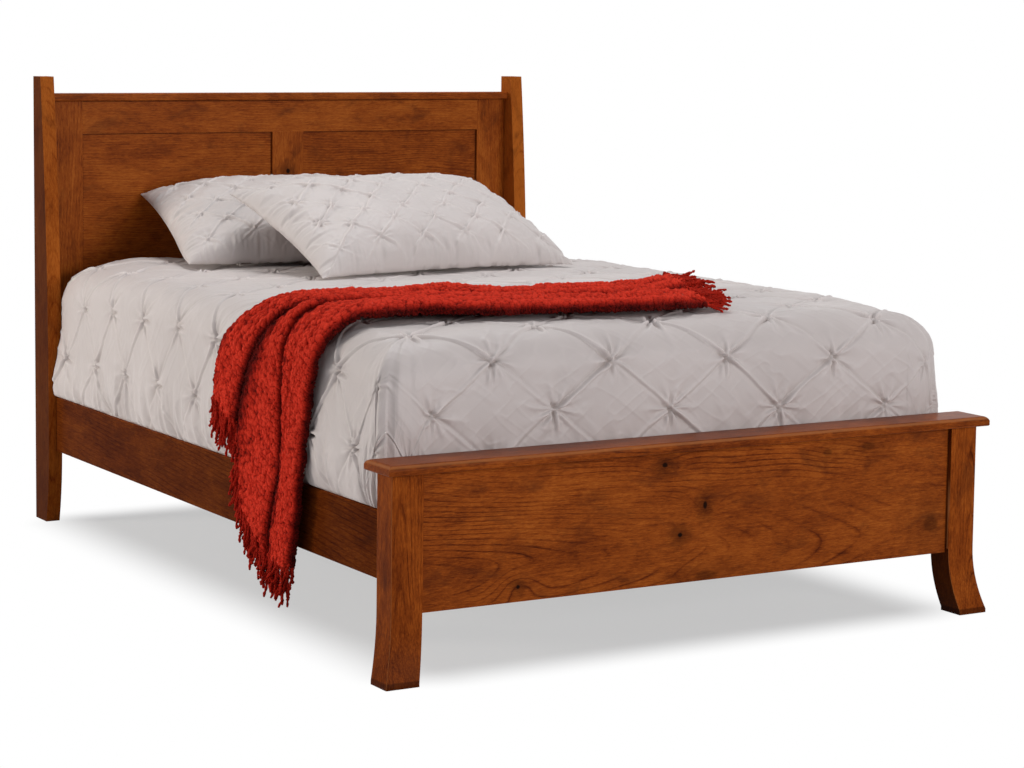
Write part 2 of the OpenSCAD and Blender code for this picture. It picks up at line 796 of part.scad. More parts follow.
// A point of the lower face: columns from the left hem to the right hem, rows from foot to head
function lining_point(i, j) =
    let (
        side = i < 4 ? -1 : 1,
        a = i < 4 ? 3 - i : i - 4,
        b = 3 - j,
        foot = b >= 0
    )
    [
        side * (lining_x + lining_reach[a]),
        foot ? lining_foot_y - lining_reach[b] : quilt_head_y,
        min(lining_drop[a], foot ? lining_drop[b] : lining_z)
    ];

function grid_at(i, j, cols) = j * (cols + 1) + i;

// Two triangles for one cell of a grid, split so that the sewn creases run along the split
function cell(i, j, cols, u = 0, v = 0) =
    let (
        a = grid_at(i, j, cols), b = grid_at(i + 1, j, cols),
        c = grid_at(i + 1, j + 1, cols), d = grid_at(i, j + 1, cols),
        rising = (u - v) % 4 == 0 ? true : (u + v + 1) % 4 == 0 ? false : (u + v) % 2 == 0
    )
    rising ? [[a, c, b], [a, d, c]] : [[a, d, b], [b, d, c]];

// Closes the strip between a row of outer points and a row of fewer inner points. Each outer
// segment meets the inner point that its place along the row calls for.
function strip(outer, inner, breaks) = concat(
    [for (k = [0 : len(outer) - 2]) [outer[k], outer[k + 1], inner[stop_at(k, breaks)]]],
    [for (m = [0 : len(inner) - 2]) [inner[m + 1], inner[m], outer[breaks[m]]]]
);
function stop_at(k, breaks) = len([for (b = breaks) if (k >= b) b]);

module comforter() {
    n = quilt_cols;
    m = quilt_rows;
    ln = lining_cols;
    lm = lining_rows;
    upper = [for (j = [0 : m], i = [0 : n]) quilt_point(i, j)];
    lining = [for (j = [0 : lm], i = [0 : ln]) lining_point(i, j)];
    base = len(upper);
    upper_faces = [for (j = [0 : m - 1], i = [0 : n - 1]) each cell(i, j, n, i + tuft_col, j + tuft_row)];
    lining_faces = [for (j = [0 : lm - 1], i = [0 : ln - 1])
        let (a = base + grid_at(i, j, ln), b = a + 1, d = a + ln + 1, c = d + 1) each
        (i < 4 ? [[a, b, c], [a, c, d]] : [[a, b, d], [b, c, d]])];
    hem_loop = concat(
        [for (j = [m : -1 : 0]) grid_at(0, j, n)],
        [for (i = [1 : n]) grid_at(i, 0, n)],
        [for (j = [1 : m]) grid_at(n, j, n)]
    );
    lining_loop = concat(
        [for (j = [lm : -1 : 0]) base + grid_at(0, j, ln)],
        [for (i = [1 : ln]) base + grid_at(i, 0, ln)],
        [for (j = [1 : lm]) base + grid_at(ln, j, ln)]
    );
    hem_breaks = [
        18, m - 10, m - 9, m - 8, m + 5, m + 6, m + 7, m + n / 2, m + n - 7, m + n - 6, m + n - 5,
        m + n + 8, m + n + 9, m + n + 10, 2 * m + n - 18
    ];
    head_loop = [for (i = [n : -1 : 0]) grid_at(i, m, n)];
    lining_head = [for (i = [ln : -1 : 0]) base + grid_at(i, lm, ln)];
    hem_faces = strip(hem_loop, lining_loop, hem_breaks);
    head_faces = strip(head_loop, lining_head, [4, 6, 7, n / 2, n - 7, n - 6, n - 4]);
    color(cotton) polyhedron(points = concat(upper, lining),
        faces = concat(upper_faces, lining_faces, hem_faces, head_faces));
}

// Pillow. The sides of its seam draw in between the corners, and tufts pinch both faces. It has
// settled, so the lower face is much flatter than the upper one.
pillow_cols = 24;
pillow_rows = 16;
pillow_tuft = 7;
pillow_draw = 0.045;

function pillow_point(i, j, face) =
    let (
        u = 2 * i / pillow_cols - 1,
        v = 2 * j / pillow_rows - 1,
        edge = max(0, (1 - pow(abs(u), 3)) * (1 - pow(abs(v), 3))),
        full = face > 0 ? 0.55 * pow(edge, 0.5) : 0.2 * pow(edge, 0.7),
        x = pillow_l / 2 * u * (1 - pillow_draw * (1 - v * v)),
        y = pillow_d / 2 * v * (1 - 1.4 * pillow_draw * (1 - u * u)),
        fall = pillow_tuft * (face > 0 ? 1 : 0.6) * (1 - puff(i, j)) * min(1, 3 * edge),
        half = pillow_t * full
    )
    [x, y, face * max(0, half - fall)];

// A pillow about its own middle
module pillow_form() {
    n = pillow_cols;
    m = pillow_rows;
    top = [for (j = [0 : m], i = [0 : n]) pillow_point(i, j, 1)];
    // The lower face's inner points follow the upper face's, and both share the seam's points
    low = [for (j = [1 : m - 1], i = [1 : n - 1]) pillow_point(i, j, -1)];
    base = len(top);
    top_faces = [for (j = [0 : m - 1], i = [0 : n - 1]) each cell(i, j, n, i, j)];
    low_faces = [for (j = [0 : m - 1], i = [0 : n - 1]) each
        [for (t = cell(i, j, n, i, j)) [for (k = [2, 1, 0]) low_at(t[k], n, m, base)]]];
    polyhedron(points = concat(top, low), faces = concat(top_faces, low_faces));
}

// The lower face's number for a grid point: the seam's own points stay
function low_at(k, n, m, base) =
    let (i = k % (n + 1), j = floor(k / (n + 1)))
    i == 0 || i == n || j == 0 || j == m ? k : base + (j - 1) * (n - 1) + i - 1;

bed_face = quilt_top + quilt_crown + puff_h;

// Each pillow's middle, its turn seen from above and its tilt back
pillow_left_at = [-97, 818.5, bed_face + 84.1];
pillow_left_turn = -9;
pillow_left_tilt = 19;
pillow_right_at = [42, 453.5, bed_face + 97.6];
pillow_right_turn = 6;
pillow_right_tilt = 22;

module pillow_left() {
    color(cotton) translate(pillow_left_at) rotate([pillow_left_tilt, 0, pillow_left_turn]) pillow_form();
}

module pillow_right() {
    color(cotton) translate(pillow_right_at) rotate([pillow_right_tilt, 0, pillow_right_turn]) pillow_form();
}

// Throw. It lies across the bed from its right end, bends over the left shoulder and hangs down
// outside the rail. Columns run along it from the front edge to the back edge, rows run across it.
throw_cols = 20;
throw_bend_r = shoulder_r + quilt_crown + puff_h + fit;
throw_bend_l = throw_bend_r * PI / 2;
// Rows at which it reaches the shoulder and leaves it, and the last row
throw_row_bend = 12;
throw_row_drop = 18;
throw_rows = 27;
// Where the right end starts across the bed, at the front edge and at the back edge
throw_start = [0.1 * mattress_w, 0.29 * mattress_w];
// Places of the two deep grooves between its folds, as shares of its width
throw_grooves = [0.45, 0.67];

// Front edge and back edge of the throw along the bed, as shares of the mattress's length, for a
// share of the throw's own length. Low end, as a share of the rail's height, for a share of its width.
function throw_front(f) = mattress_l * lookup(f, [
    [0, -0.44], [0.15, -0.45], [0.25, -0.422], [0.4, -0.412], [0.45, -0.375], [0.55, -0.38],
    [0.75, -0.333], [1, -0.292]
]);
function throw_back(f) = mattress_l * lookup(f, [
    [0, -0.14], [0.15, -0.225], [0.25, -0.2], [0.42, -0.225], [0.5, -0.135], [0.7, -0.16],
    [0.82, -0.136], [0.93, -0.072], [1, -0.072]
]);
function throw_low(p) = rail_top * lookup(p, [
    [0, 0.41], [0.4, 0.34], [0.55, 0.46], [0.64, 0.71], [0.7, 1.01], [1, 1.05]
]);

function mix(a, b, f) = a + (b - a) * f;

// A point of the throw: i counts across it, j along it, and rise lifts it off the bed
function throw_point(i, j, rise) =
    let (
        p = i / throw_cols,
        x0 = mix(throw_start[0], throw_start[1], p),
        flat = x0 + flat_x,
        drop = quilt_top - shoulder_r - throw_low(p),
        run =
            j <= throw_row_bend ? flat * j / throw_row_bend :
            j <= throw_row_drop ? flat + throw_bend_l * (j - throw_row_bend) / (throw_row_drop - throw_row_bend) :
            flat + throw_bend_l + drop * (j - throw_row_drop) / (throw_rows - throw_row_drop),
        f = run / (flat + throw_bend_l + drop),
        s = run - flat,
        y = mix(throw_front(f), throw_back(f), p),
        tilt = s <= 0 ? 0 : s >= throw_bend_l ? 90 : 90 * s / throw_bend_l,
        r = throw_bend_r + rise,
        x = s <= 0 ? x0 - run : -flat_x - r * sin(tilt),
        z = quilt_top - shoulder_r + (s >= throw_bend_l ? throw_bend_l - s : r * cos(tilt))
    )
    [x, y, z];

function throw_rise(i, j) =
    let (
        p = i / throw_cols,
        near = min([for (g = throw_grooves) abs(p - g)]),
        fold = pow(min(1, (near + 0.01) / 0.11), 0.7)
    )
    throw_t + throw_fold * fold * (0.7 + 0.3 * abs(sin(150 * p * 6 + 12 * j)));

module throw() {
    n = throw_cols;
    m = throw_rows;
    upper = [for (j = [0 : m], i = [0 : n]) throw_point(i, j, throw_rise(i, j))];
    under = [for (j = [0 : m], i = [0 : n]) throw_point(i, j, 0)];
    base = len(upper);
    upper_faces = [for (j = [0 : m - 1], i = [0 : n - 1]) each cell(i, j, n, i, j)];
    under_faces = [for (j = [0 : m - 1], i = [0 : n - 1]) each
        [for (t = cell(i, j, n, i, j)) [t[2] + base, t[1] + base, t[0] + base]]];
    loop = concat(
        [for (i = [0 : n]) grid_at(i, 0, n)],
        [for (j = [1 : m]) grid_at(n, j, n)],
        [for (i = [n - 1 : -1 : 0]) grid_at(i, m, n)],
        [for (j = [m - 1 : -1 : 1]) grid_at(0, j, n)]
    );
    side_faces = [for (k = [0 : len(loop) - 1]) let (a = loop[k], b = loop[(k + 1) % len(loop)]) each
        [[a, b, b + base], [a, b + base, a + base]]];
    color(red_knit) polyhedron(points = concat(upper, under), faces = concat(upper_faces, under_faces, side_faces));
}

headboard_post_left();
headboard_post_right();
headboard_top_rail();
headboard_bottom_rail();
headboard_stile_left();
headboard_stile_right();
headboard_mullion();
headboard_panel_left();
headboard_panel_right();
headboard_cap();
footboard_post_left();
footboard_post_right();
footboard_panel();
footboard_cap();
cap_dowels();
side_rail_left();
side_rail_right();
rail_cleat_left();
rail_cleat_right();
rail_hooks();
hook_sockets();
plate_screws();
slat_1();
slat_2();
slat_3();
slat_4();
slat_5();
slat_screws();
centre_leg_1();
centre_leg_2();
centre_leg_3();
leg_inserts();
glide_1();
glide_2();
glide_3();
foundation();
mattress();
comforter();
pillow_left();
pillow_right();
throw();
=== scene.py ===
import math

import bmesh
import bpy
import numpy as np
from mathutils import Matrix, Vector


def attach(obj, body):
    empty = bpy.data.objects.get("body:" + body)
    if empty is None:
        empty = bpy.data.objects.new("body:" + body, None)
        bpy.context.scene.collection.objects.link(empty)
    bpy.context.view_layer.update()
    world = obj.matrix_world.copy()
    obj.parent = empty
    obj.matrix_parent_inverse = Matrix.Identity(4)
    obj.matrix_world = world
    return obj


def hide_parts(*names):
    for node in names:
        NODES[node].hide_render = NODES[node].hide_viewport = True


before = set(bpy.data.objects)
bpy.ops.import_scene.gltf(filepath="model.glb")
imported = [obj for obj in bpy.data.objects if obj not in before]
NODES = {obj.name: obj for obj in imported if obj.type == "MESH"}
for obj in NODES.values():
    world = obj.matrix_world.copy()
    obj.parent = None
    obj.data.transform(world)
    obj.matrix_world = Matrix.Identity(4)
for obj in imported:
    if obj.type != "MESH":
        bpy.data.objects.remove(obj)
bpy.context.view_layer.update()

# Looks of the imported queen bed. Its wood gets eased edges and a stained grain, and its comforter, pillows
# and throw are formed here, in millimetres that MM scales on their way into a mesh. Materials use metres.
MM = 0.001
TURN = 6.28  # a full turn, near enough for a phase


# ---- node helpers
MIX_FACTOR, MIX_A, MIX_B, MIX_RESULT = 0, 6, 7, 2


def new_material(name):
    mat = bpy.data.materials.new(name)
    mat.use_nodes = True
    mat.node_tree.nodes.clear()
    return mat, mat.node_tree


def plug(t, node, key, value):
    """Links a socket, or a node's first one, to an input, or sets the input to a value."""
    if isinstance(value, bpy.types.Node):
        value = value.outputs[0]
    if isinstance(value, bpy.types.NodeSocket):
        t.links.new(value, node.inputs[key])
    else:
        node.inputs[key].default_value = value


def put(t, kind, ins=None, **props):
    n = t.nodes.new("ShaderNode" + kind)
    for k, v in props.items():
        setattr(n, k, v)
    for k, v in (ins or {}).items():
        plug(t, n, k, v)
    return n


def maths(t, op, a, b=0.0, c=0.0):
    return put(t, "Math", {0: a, 1: b, 2: c}, operation=op)


def add(t, a, b):
    return maths(t, "ADD", a, b)


def sub(t, a, b):
    return maths(t, "SUBTRACT", a, b)


def mul(t, a, b):
    return maths(t, "MULTIPLY", a, b)


def mul_add(t, a, b, c):
    return maths(t, "MULTIPLY_ADD", a, b, c)


def swing(t, noise, reach):
    """A noise moved so that it swings evenly about zero, over reach in all."""
    return mul_add(t, noise, reach, -reach / 2)


def sum_of_squares(t, a, b):
    return add(t, mul(t, a, a), mul(t, b, b))


def opaque(colour):
    return (*colour, 1.0) if isinstance(colour, tuple) and len(colour) == 3 else colour


def ramp(t, fac, stops):
    n = put(t, "ValToRGB", {0: fac})
    e = n.color_ramp.elements
    while len(e) < len(stops):
        e.new(0.5)
    for stop, (pos, col) in zip(e, stops):
        stop.position = pos
        stop.color = opaque(col)
    return n


def mix_rgb(t, fac, a, b, blend="MIX"):
    n = put(t, "Mix", data_type="RGBA", blend_type=blend)
    for k, v in ((MIX_FACTOR, fac), (MIX_A, opaque(a)), (MIX_B, opaque(b))):
        plug(t, n, k, v)
    return n.outputs[MIX_RESULT]


def map_range(t, v, from_min, from_max, to_min, to_max):
    return put(t, "MapRange", {0: v, 1: from_min, 2: from_max, 3: to_min, 4: to_max})


def noise_tex(t, vec, scale, detail=3.0, rough=0.5, distortion=0.0):
    return put(t, "TexNoise", {"Vector": vec, "Scale": scale, "Detail": detail,
                                         "Roughness": rough, "Distortion": distortion})


def bump_of(t, height, strength, distance):
    return put(t, "Bump", {"Height": height, "Strength": strength, "Distance": distance})


def object_coords(t):
    return put(t, "TexCoord").outputs["Object"]


def object_axes(t):
    sep = put(t, "SeparateXYZ", {0: object_coords(t)})
    return dict(zip("XYZ", sep.outputs))


def relief_shade_attribute(t):
    """How far the cloth stands out at a point, which its mesh carries; it paints shade into the folds and gaps
    and a highlight on the ridges.
    """
    return put(t, "Attribute", attribute_name="depth").outputs["Fac"]


def principled(mat, t, ins):
    shader = put(t, "BsdfPrincipled", ins)
    put(t, "OutputMaterial", {0: shader})
    return mat


# ---- wood
# Noise layers: scale along the grain and across it, offset, detail, roughness and distortion
WOOD_LAYERS = {
    "bend": (1.1, 3.0, 0.0, 2.0, 0.45, 0.0),
    "wobble": (6.0, 26.0, 4.0, 4.0, 0.6, 0.0),
    "shown": (3.4, 11.0, 12.0, 4.0, 0.6, 0.0),
    "streak": (5.0, 165.0, 9.0, 6.0, 0.72, 0.0),
    "fibre": (22.0, 900.0, 2.0, 2.0, 0.6, 0.0),
    "fleck": (50.0, 330.0, 31.0, 4.0, 0.80, 0.0),
    "grain": (85.0, 620.0, 51.0, 2.0, 0.70, 0.0),
    "pore": (24.0, 430.0, 41.0, 3.0, 0.7, 0.0),
    "blotch": (13.0, 30.0, 7.0, 7.0, 0.72, 0.5),
    "cloud": (3.4, 7.0, 17.0, 4.0, 0.60, 0.4),
    "dull": (8.0, 17.0, 21.0, 5.0, 0.62, 0.6),
}
# How much each layer moves the wood between its darkest and lightest colours
WOOD_GAINS = {"streak": 0.48, "fibre": 0.55, "fleck": 0.78, "grain": 0.60, "blotch": 0.72, "cloud": 0.85}
WOOD_LEVEL = 0.590
RING_GAIN, RING_MEAN = 0.36, 0.88
RING_STOPS = [(place, (value,) * 3) for place, value in (
    (0.0, 0.0), (0.06, 0.55), (0.20, 0.97), (0.84, 1.0), (0.96, 0.50), (1.0, 0.0))]
WOOD_STOPS = [(0.0, (0.045, 0.0080, 0.0020)), (0.28, (0.112, 0.0205, 0.0038)), (0.50, (0.200, 0.0405, 0.0060)),
              (0.72, (0.305, 0.0690, 0.0092)), (1.0, (0.430, 0.1150, 0.0165))]
PORE_STAIN = (0.040, 0.0075, 0.0022)
DULL_STAIN = (0.070, 0.0155, 0.0055)
HALO_STAIN = (0.036, 0.0072, 0.0022)
KNOT_STAIN = (0.008, 0.0022, 0.001)
# Colours of the painted shade along corners, at the floor and on faces square to X, and of the painted
# highlight on arrises
PAINTED_CORNER_SHADE = (0.022, 0.0045, 0.0015)
FLOOR_SHADE_COLOUR = (0.030, 0.0060, 0.0020)
X_FACE_SHADE_COLOUR = (0.020, 0.0030, 0.0010)
ARRIS_HIGHLIGHT_COLOUR = (0.480, 0.190, 0.070)
# Masks: from which value to which, and what they give at each
RING_MASK, PORE_MASK = (0.42, 0.64, 0.06, 1.25), (0.56, 0.70, 0.0, 0.42)
DULL_MASK, CORNER_SHADE_MASK = (0.54, 0.72, 0.0, 0.55), (0.0008, 0.0055, 0.72, 0.0)
# Painted highlights on arrises fade out on those that face down
UPPER_MASK = (-0.3, -0.1, 0.0, 1.0)
# A knot's halo and its core, from and to how many half sizes off its middle
HALO_FROM, HALO_TO, HALO_DEPTH = 0.8, 6.0, 0.66
CORE_FROM, CORE_TO = 0.75, 1.20
FLOOR_SHADE_BLUR, FLOOR_SHADE_DEPTH = 0.003, 0.62
# How far a knot bends the grain, along and across
KNOT_REACH = (0.065, 0.040)
# Swing of the rings' place: across with the bend and with the wobble, and in depth with the bend
RING_SWAY, RING_WOBBLE, RING_HEAVE = 0.09, 0.010, 0.03


def third_axis(along, wide):
    return [axis for axis in "XYZ" if axis not in (along, wide)][0]


def wood_material(name, along, wide, seed, figure=1.0, dark=0.0, knots=(), gloss=1.0, x_face_shade=0.0, band=0.0,
                  lines=(), at=(0.0, 0.0), heart=0.040, slope=0.035, rings=200.0, arris_highlight=(0.40, 0.55, 0.0)):
    """Stained, semi-gloss plain-sawn board. along and wide name the axes of the grain and of the face.

    figure is the strength of the growth rings, dark how much darker the board is, x_face_shade how much shade
    is painted on its faces square to X, and band the height up to which shade is painted at the floor.
    A knot is its place along and across, its half sizes, its depth of colour and how far it bends the grain.
    lines are the corners, as an axis and a coordinate, along which shade is painted. at is the middle of the
    face and its place across the thickness, heart how far behind it the log's heart line runs, slope how fast
    that comes nearer, and rings their number in a metre. wear is from which tilt of the surface to which a
    highlight is painted on an arris, and how much; arrises that face down get none."""
    mat, t = new_material("wood_" + name)
    axes = object_axes(t)
    a, w, h = axes[along], axes[wide], axes[third_axis(along, wide)]

    def layer(key):
        ka, kw, offset, detail, rough, distortion = WOOD_LAYERS[key]
        vec = put(t, "CombineXYZ", {
            0: mul_add(t, a, ka, offset + seed * 3.17),
            1: mul_add(t, w, kw, offset * 1.7 + seed * 1.31),
            2: mul_add(t, h, kw, seed * 0.77)})
        return noise_tex(t, vec, 1.0, detail, rough, distortion)

    # Growth rings round a tilted heart line that lies behind the face, which gives the pointed figure
    bend, wobble = layer("bend"), layer("wobble")
    sway = RING_SWAY * figure
    across = add(t, mul_add(t, bend, sway, -sway / 2 - at[0]), w)
    across = add(t, across, swing(t, wobble, RING_WOBBLE))
    behind = mul_add(t, a, slope, heart * (1 + 0.3 * math.sin(seed)) - at[1])
    behind = add(t, behind, swing(t, bend, RING_HEAVE))
    behind = add(t, behind, h)
    for (ka, kw, *_, pull) in knots:
        da = mul(t, sub(t, a, ka), 1 / KNOT_REACH[0])
        dw = mul(t, sub(t, w, kw), 1 / KNOT_REACH[1])
        near = maths(t, "EXPONENT", mul(t, sum_of_squares(t, da, dw), -1.0))
        behind = mul_add(t, near, pull, behind)
    radius = maths(t, "SQRT", sum_of_squares(t, across, behind))
    ring = maths(t, "FRACT", mul_add(t, radius, rings, seed * 0.37))
    shown = map_range(t, layer("shown"), *RING_MASK)
    line = mul(t, sub(t, ramp(t, ring, RING_STOPS), RING_MEAN), shown)

    parts = {key: layer(key) for key in WOOD_GAINS}
    tone = mul_add(t, line, RING_GAIN * figure, WOOD_LEVEL - dark)
    for key, gain in WOOD_GAINS.items():
        tone = add(t, tone, swing(t, parts[key], gain))
    col = ramp(t, tone, WOOD_STOPS)
    col = mix_rgb(t, map_range(t, layer("pore"), *PORE_MASK), col, PORE_STAIN)
    # Stain that has taken unevenly, towards a duller purple brown
    col = mix_rgb(t, map_range(t, layer("dull"), *DULL_MASK), col, DULL_STAIN)

    for (ka, kw, half_a, half_w, depth, _) in knots:
        da = maths(t, "DIVIDE", sub(t, a, ka), half_a)
        dw = maths(t, "DIVIDE", sub(t, w, kw), half_w)
        off = add(t, maths(t, "SQRT", sum_of_squares(t, da, dw)), swing(t, wobble, 1.3))
        blotched = add(t, off, swing(t, parts["blotch"], 9.0))
        halo = map_range(t, blotched, HALO_FROM, HALO_TO, HALO_DEPTH * depth, 0.0)
        col = mix_rgb(t, halo, col, HALO_STAIN)
        col = mix_rgb(t, map_range(t, off, CORE_FROM, CORE_TO, depth, 0.0), col, KNOT_STAIN)
    # Painted shade along each of the given corners
    for axis, value in lines:
        off = maths(t, "ABSOLUTE", sub(t, axes[axis], value))
        col = mix_rgb(t, map_range(t, off, *CORNER_SHADE_MASK), col, PAINTED_CORNER_SHADE)
    # Painted shade at the floor, up to the given height
    if band > 0:
        col = mix_rgb(t, map_range(t, axes["Z"], band, band + FLOOR_SHADE_BLUR, FLOOR_SHADE_DEPTH, 0.0), col, FLOOR_SHADE_COLOUR)

    normal = put(t, "SeparateXYZ", {0: put(t, "TexCoord").outputs["Normal"]}).outputs
    fx, fy, fz = (maths(t, "ABSOLUTE", normal[k]) for k in range(3))
    if arris_highlight[2] > 0:
        # A highlight is painted on an arris, which shows by the middle one of the normal's parts, small on
        # every flat face; arrises that face down get none
        most = maths(t, "MAXIMUM", maths(t, "MAXIMUM", fx, fy), fz)
        least = maths(t, "MINIMUM", maths(t, "MINIMUM", fx, fy), fz)
        middle = sub(t, sub(t, add(t, add(t, fx, fy), fz), most), least)
        upper = map_range(t, normal[2], *UPPER_MASK)
        painted_highlight = mul(t, upper, map_range(t, middle, arris_highlight[0], arris_highlight[1], 0.0, arris_highlight[2]))
        col = mix_rgb(t, painted_highlight, col, ARRIS_HIGHLIGHT_COLOUR)
    # Painted shade on the faces square to X
    if x_face_shade > 0:
        col = mix_rgb(t, map_range(t, fx, 0.5, 0.9, 0.0, x_face_shade), col, X_FACE_SHADE_COLOUR)
    return principled(mat, t, {
        "Base Color": col, "Roughness": mul_add(t, parts["streak"], 0.14, 0.24),
        "Normal": bump_of(t, mul_add(t, line, 0.25, parts["fibre"]), 0.10, 0.0005),
        "Specular IOR Level": 0.03 * gloss, "Specular Tint": (1.0, 0.85, 0.75, 1)})


def pine_material(name, along, wide):
    mat, t = new_material(name)
    axes = object_axes(t)
    vec = put(t, "CombineXYZ", {
        0: mul(t, axes[along], 2.0), 1: mul(t, axes[wide], 60.0),
        2: mul(t, axes[third_axis(along, wide)], 60.0)})
    grain = noise_tex(t, vec, 1.0, 4.0, 0.55)
    col = ramp(t, grain, [(0.25, (0.36, 0.22, 0.10)), (0.5, (0.56, 0.38, 0.20)), (0.8, (0.66, 0.49, 0.29))])
    return principled(mat, t, {"Base Color": col, "Roughness": 0.62, "Normal": bump_of(t, grain, 0.15, 0.0006)})


# ---- fittings and cloth
def steel_material():
    mat, t = new_material("zinc_steel")
    spangle = noise_tex(t, object_coords(t), 160.0, 3.0)
    col = ramp(t, spangle, [(0.3, (0.42, 0.42, 0.43)), (0.7, (0.60, 0.60, 0.61))])
    return principled(mat, t, {"Base Color": col, "Metallic": 1.0, "Roughness": mul_add(t, spangle, 0.2, 0.25)})


def plastic_material():
    mat, t = new_material("glide_plastic")
    bump = bump_of(t, noise_tex(t, object_coords(t), 900.0, 2.0), 0.2, 0.0003)
    return principled(mat, t, {"Base Color": (0.02, 0.02, 0.02, 1), "Roughness": 0.5, "Normal": bump})


def ticking_material():
    mat, t = new_material("ticking")
    coords = object_coords(t)
    weave = put(t, "TexWave", {"Vector": coords, "Scale": 190.0, "Distortion": 1.0},
                bands_direction="DIAGONAL").outputs[1]
    col = ramp(t, noise_tex(t, coords, 24.0, 3.0), [(0.3, (0.62, 0.60, 0.55)), (0.7, (0.72, 0.70, 0.66))])
    return principled(mat, t, {"Base Color": col, "Roughness": 0.8, "Normal": bump_of(t, weave, 0.2, 0.0005),
                               "Sheen Weight": 0.1})


COVER_TINT = (0.610, 0.553, 0.536)
SHAM_TINT = (0.628, 0.574, 0.556)
# Painted shade in the cloth's pressed-in folds, greyer, up to a painted highlight on its ridges
FOLD_SHADE_STOPS = [(0.02, (0.76, 0.735, 0.72)), (0.32, (0.95, 0.945, 0.94)), (0.52, (1.0, 1.0, 1.0)),
              (0.86, (1.17, 1.17, 1.17))]
# The throw's reds, from painted shade, near black, in the gaps between its loops to their tops
KNIT_REDS_AND_SHADE = [(0.08, (0.030, 0.0016, 0.0016)), (0.30, (0.260, 0.0095, 0.0055)), (0.56, (0.620, 0.0280, 0.0130)),
              (0.88, (0.900, 0.0560, 0.0280))]


def sateen_material(name, tint):
    """Pale warm grey cotton sateen with fine yarns and soft creases, with painted shade in its folds and a
    painted highlight on its ridges.
    """
    mat, t = new_material(name)
    coords = object_coords(t)
    crease = noise_tex(t, coords, 26.0, 4.0, 0.50, 1.2)
    yarn = noise_tex(t, coords, 1400.0, 2.0, 0.6)
    dull = tuple(c * 0.95 for c in tint)
    clear = tuple(min(1.0, c * 1.04) for c in tint)
    col = ramp(t, noise_tex(t, coords, 3.5, 3.0, 0.5), [(0.3, dull), (0.7, clear)])
    # Painted shade in the pressed-in folds and painted highlight on the ridges, from the relief that the mesh
    # carries
    col = mix_rgb(t, 1.0, col, ramp(t, relief_shade_attribute(t), FOLD_SHADE_STOPS), "MULTIPLY")
    return principled(mat, t, {
        "Base Color": col, "Roughness": mul_add(t, crease, 0.16, 0.46),
        "Normal": bump_of(t, mul_add(t, yarn, 0.12, crease), 0.16, 0.0025),
        "Sheen Weight": 0.12, "Sheen Roughness": 0.4})


def knit_material(name, lift=0.0):
    """Chunky looped yarn: bright on the loops, with painted shade, deep red, in the gaps that the depth
    attribute marks.
    """
    mat, t = new_material(name)
    coords = object_coords(t)
    loops = put(t, "TexVoronoi", {"Vector": coords, "Scale": 210.0})
    fuzz = noise_tex(t, coords, 520.0, 4.0, 0.7)
    patch = noise_tex(t, coords, 22.0, 3.0)
    # Painted shade in the gaps between the loops, from the relief that the mesh carries and from the loops'
    # cells
    tone = mul_add(t, relief_shade_attribute(t), 0.80, lift - 0.03)
    for part, gain in ((patch, 0.22), (fuzz, 0.26)):
        tone = add(t, tone, mul(t, part, gain))
    tone = sub(t, tone, mul(t, loops, 0.20))
    return principled(mat, t, {
        "Base Color": ramp(t, tone, KNIT_REDS_AND_SHADE), "Roughness": 0.92,
        "Normal": bump_of(t, mul_add(t, loops, -0.9, fuzz), 0.85, 0.004), "Specular IOR Level": 0.05,
        "Sheen Weight": 0.05, "Sheen Roughness": 0.5, "Sheen Tint": (1.0, 0.25, 0.18, 1)})


# ---- objects and eased wood pieces
WELD = 2e-5
FLAT = math.radians(0.05)
ARRIS = math.radians(28)
CREASE = math.radians(34)
# Walls narrower than this belong to the pockets of the hidden joints and keep their square edges
NARROW_WALL = 0.019
WIDE_BEVEL = 0.002


def add_object(name, data):
    ob = bpy.data.objects.new(name, data)
    bpy.context.collection.objects.link(ob)
    return ob


def eased(node, material, width, segments=2, body="bed_frame"):
    """A copy of a wood node with eased edges, in the same place, that stands for it."""
    me = NODES[node].data.copy()
    me.name = node + "_eased"
    bm = bmesh.new()
    bm.from_mesh(me)
    bmesh.ops.remove_doubles(bm, verts=bm.verts, dist=WELD)
    bmesh.ops.dissolve_limit(bm, angle_limit=FLAT, verts=bm.verts, edges=bm.edges)
    least = NARROW_WALL if width > WIDE_BEVEL else 0.0
    sharp = [e for e in bm.edges if len(e.link_faces) == 2 and e.calc_face_angle(0) > ARRIS
             and e.calc_length() > width * 2.5
             and min(f.calc_area() for f in e.link_faces) > least * e.calc_length()]
    bmesh.ops.bevel(bm, geom=sharp, offset=width, offset_type="OFFSET", segments=segments, profile=0.5,
                    affect="EDGES", clamp_overlap=True)
    for f in bm.faces:
        f.smooth = True
    for e in bm.edges:
        if len(e.link_faces) == 2 and e.calc_face_angle(0) > CREASE:
            e.smooth = False
    bm.to_mesh(me)
    bm.free()
    me.materials.clear()
    me.materials.append(material)
    ob = add_object(node + "_finish", me)
    mod = ob.modifiers.new("normals", "WEIGHTED_NORMAL")
    mod.keep_sharp = True
    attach(ob, body)
    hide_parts(node)
    return ob


def paint(node, material):
    slots = NODES[node].data.materials
    slots.clear()
    slots.append(material)


# ---- seeded noise for shapes
HASH_X, HASH_Y, HASH_SEED, HASH_MIX = 374761393, 668265263, 2147483647, 1274126177
WORD, HALF_WORD = 0xFFFFFFFF, 0xFFFF


def hashed(ix, iy, seed):
    """A number from 0 to 1 for each pair of whole numbers."""
    h = (ix.astype(np.int64) * HASH_X + iy.astype(np.int64) * HASH_Y + seed * HASH_SEED // 7) & WORD
    h = ((h ^ (h >> 13)) * HASH_MIX) & WORD
    return ((h ^ (h >> 16)) & HALF_WORD) / HALF_WORD


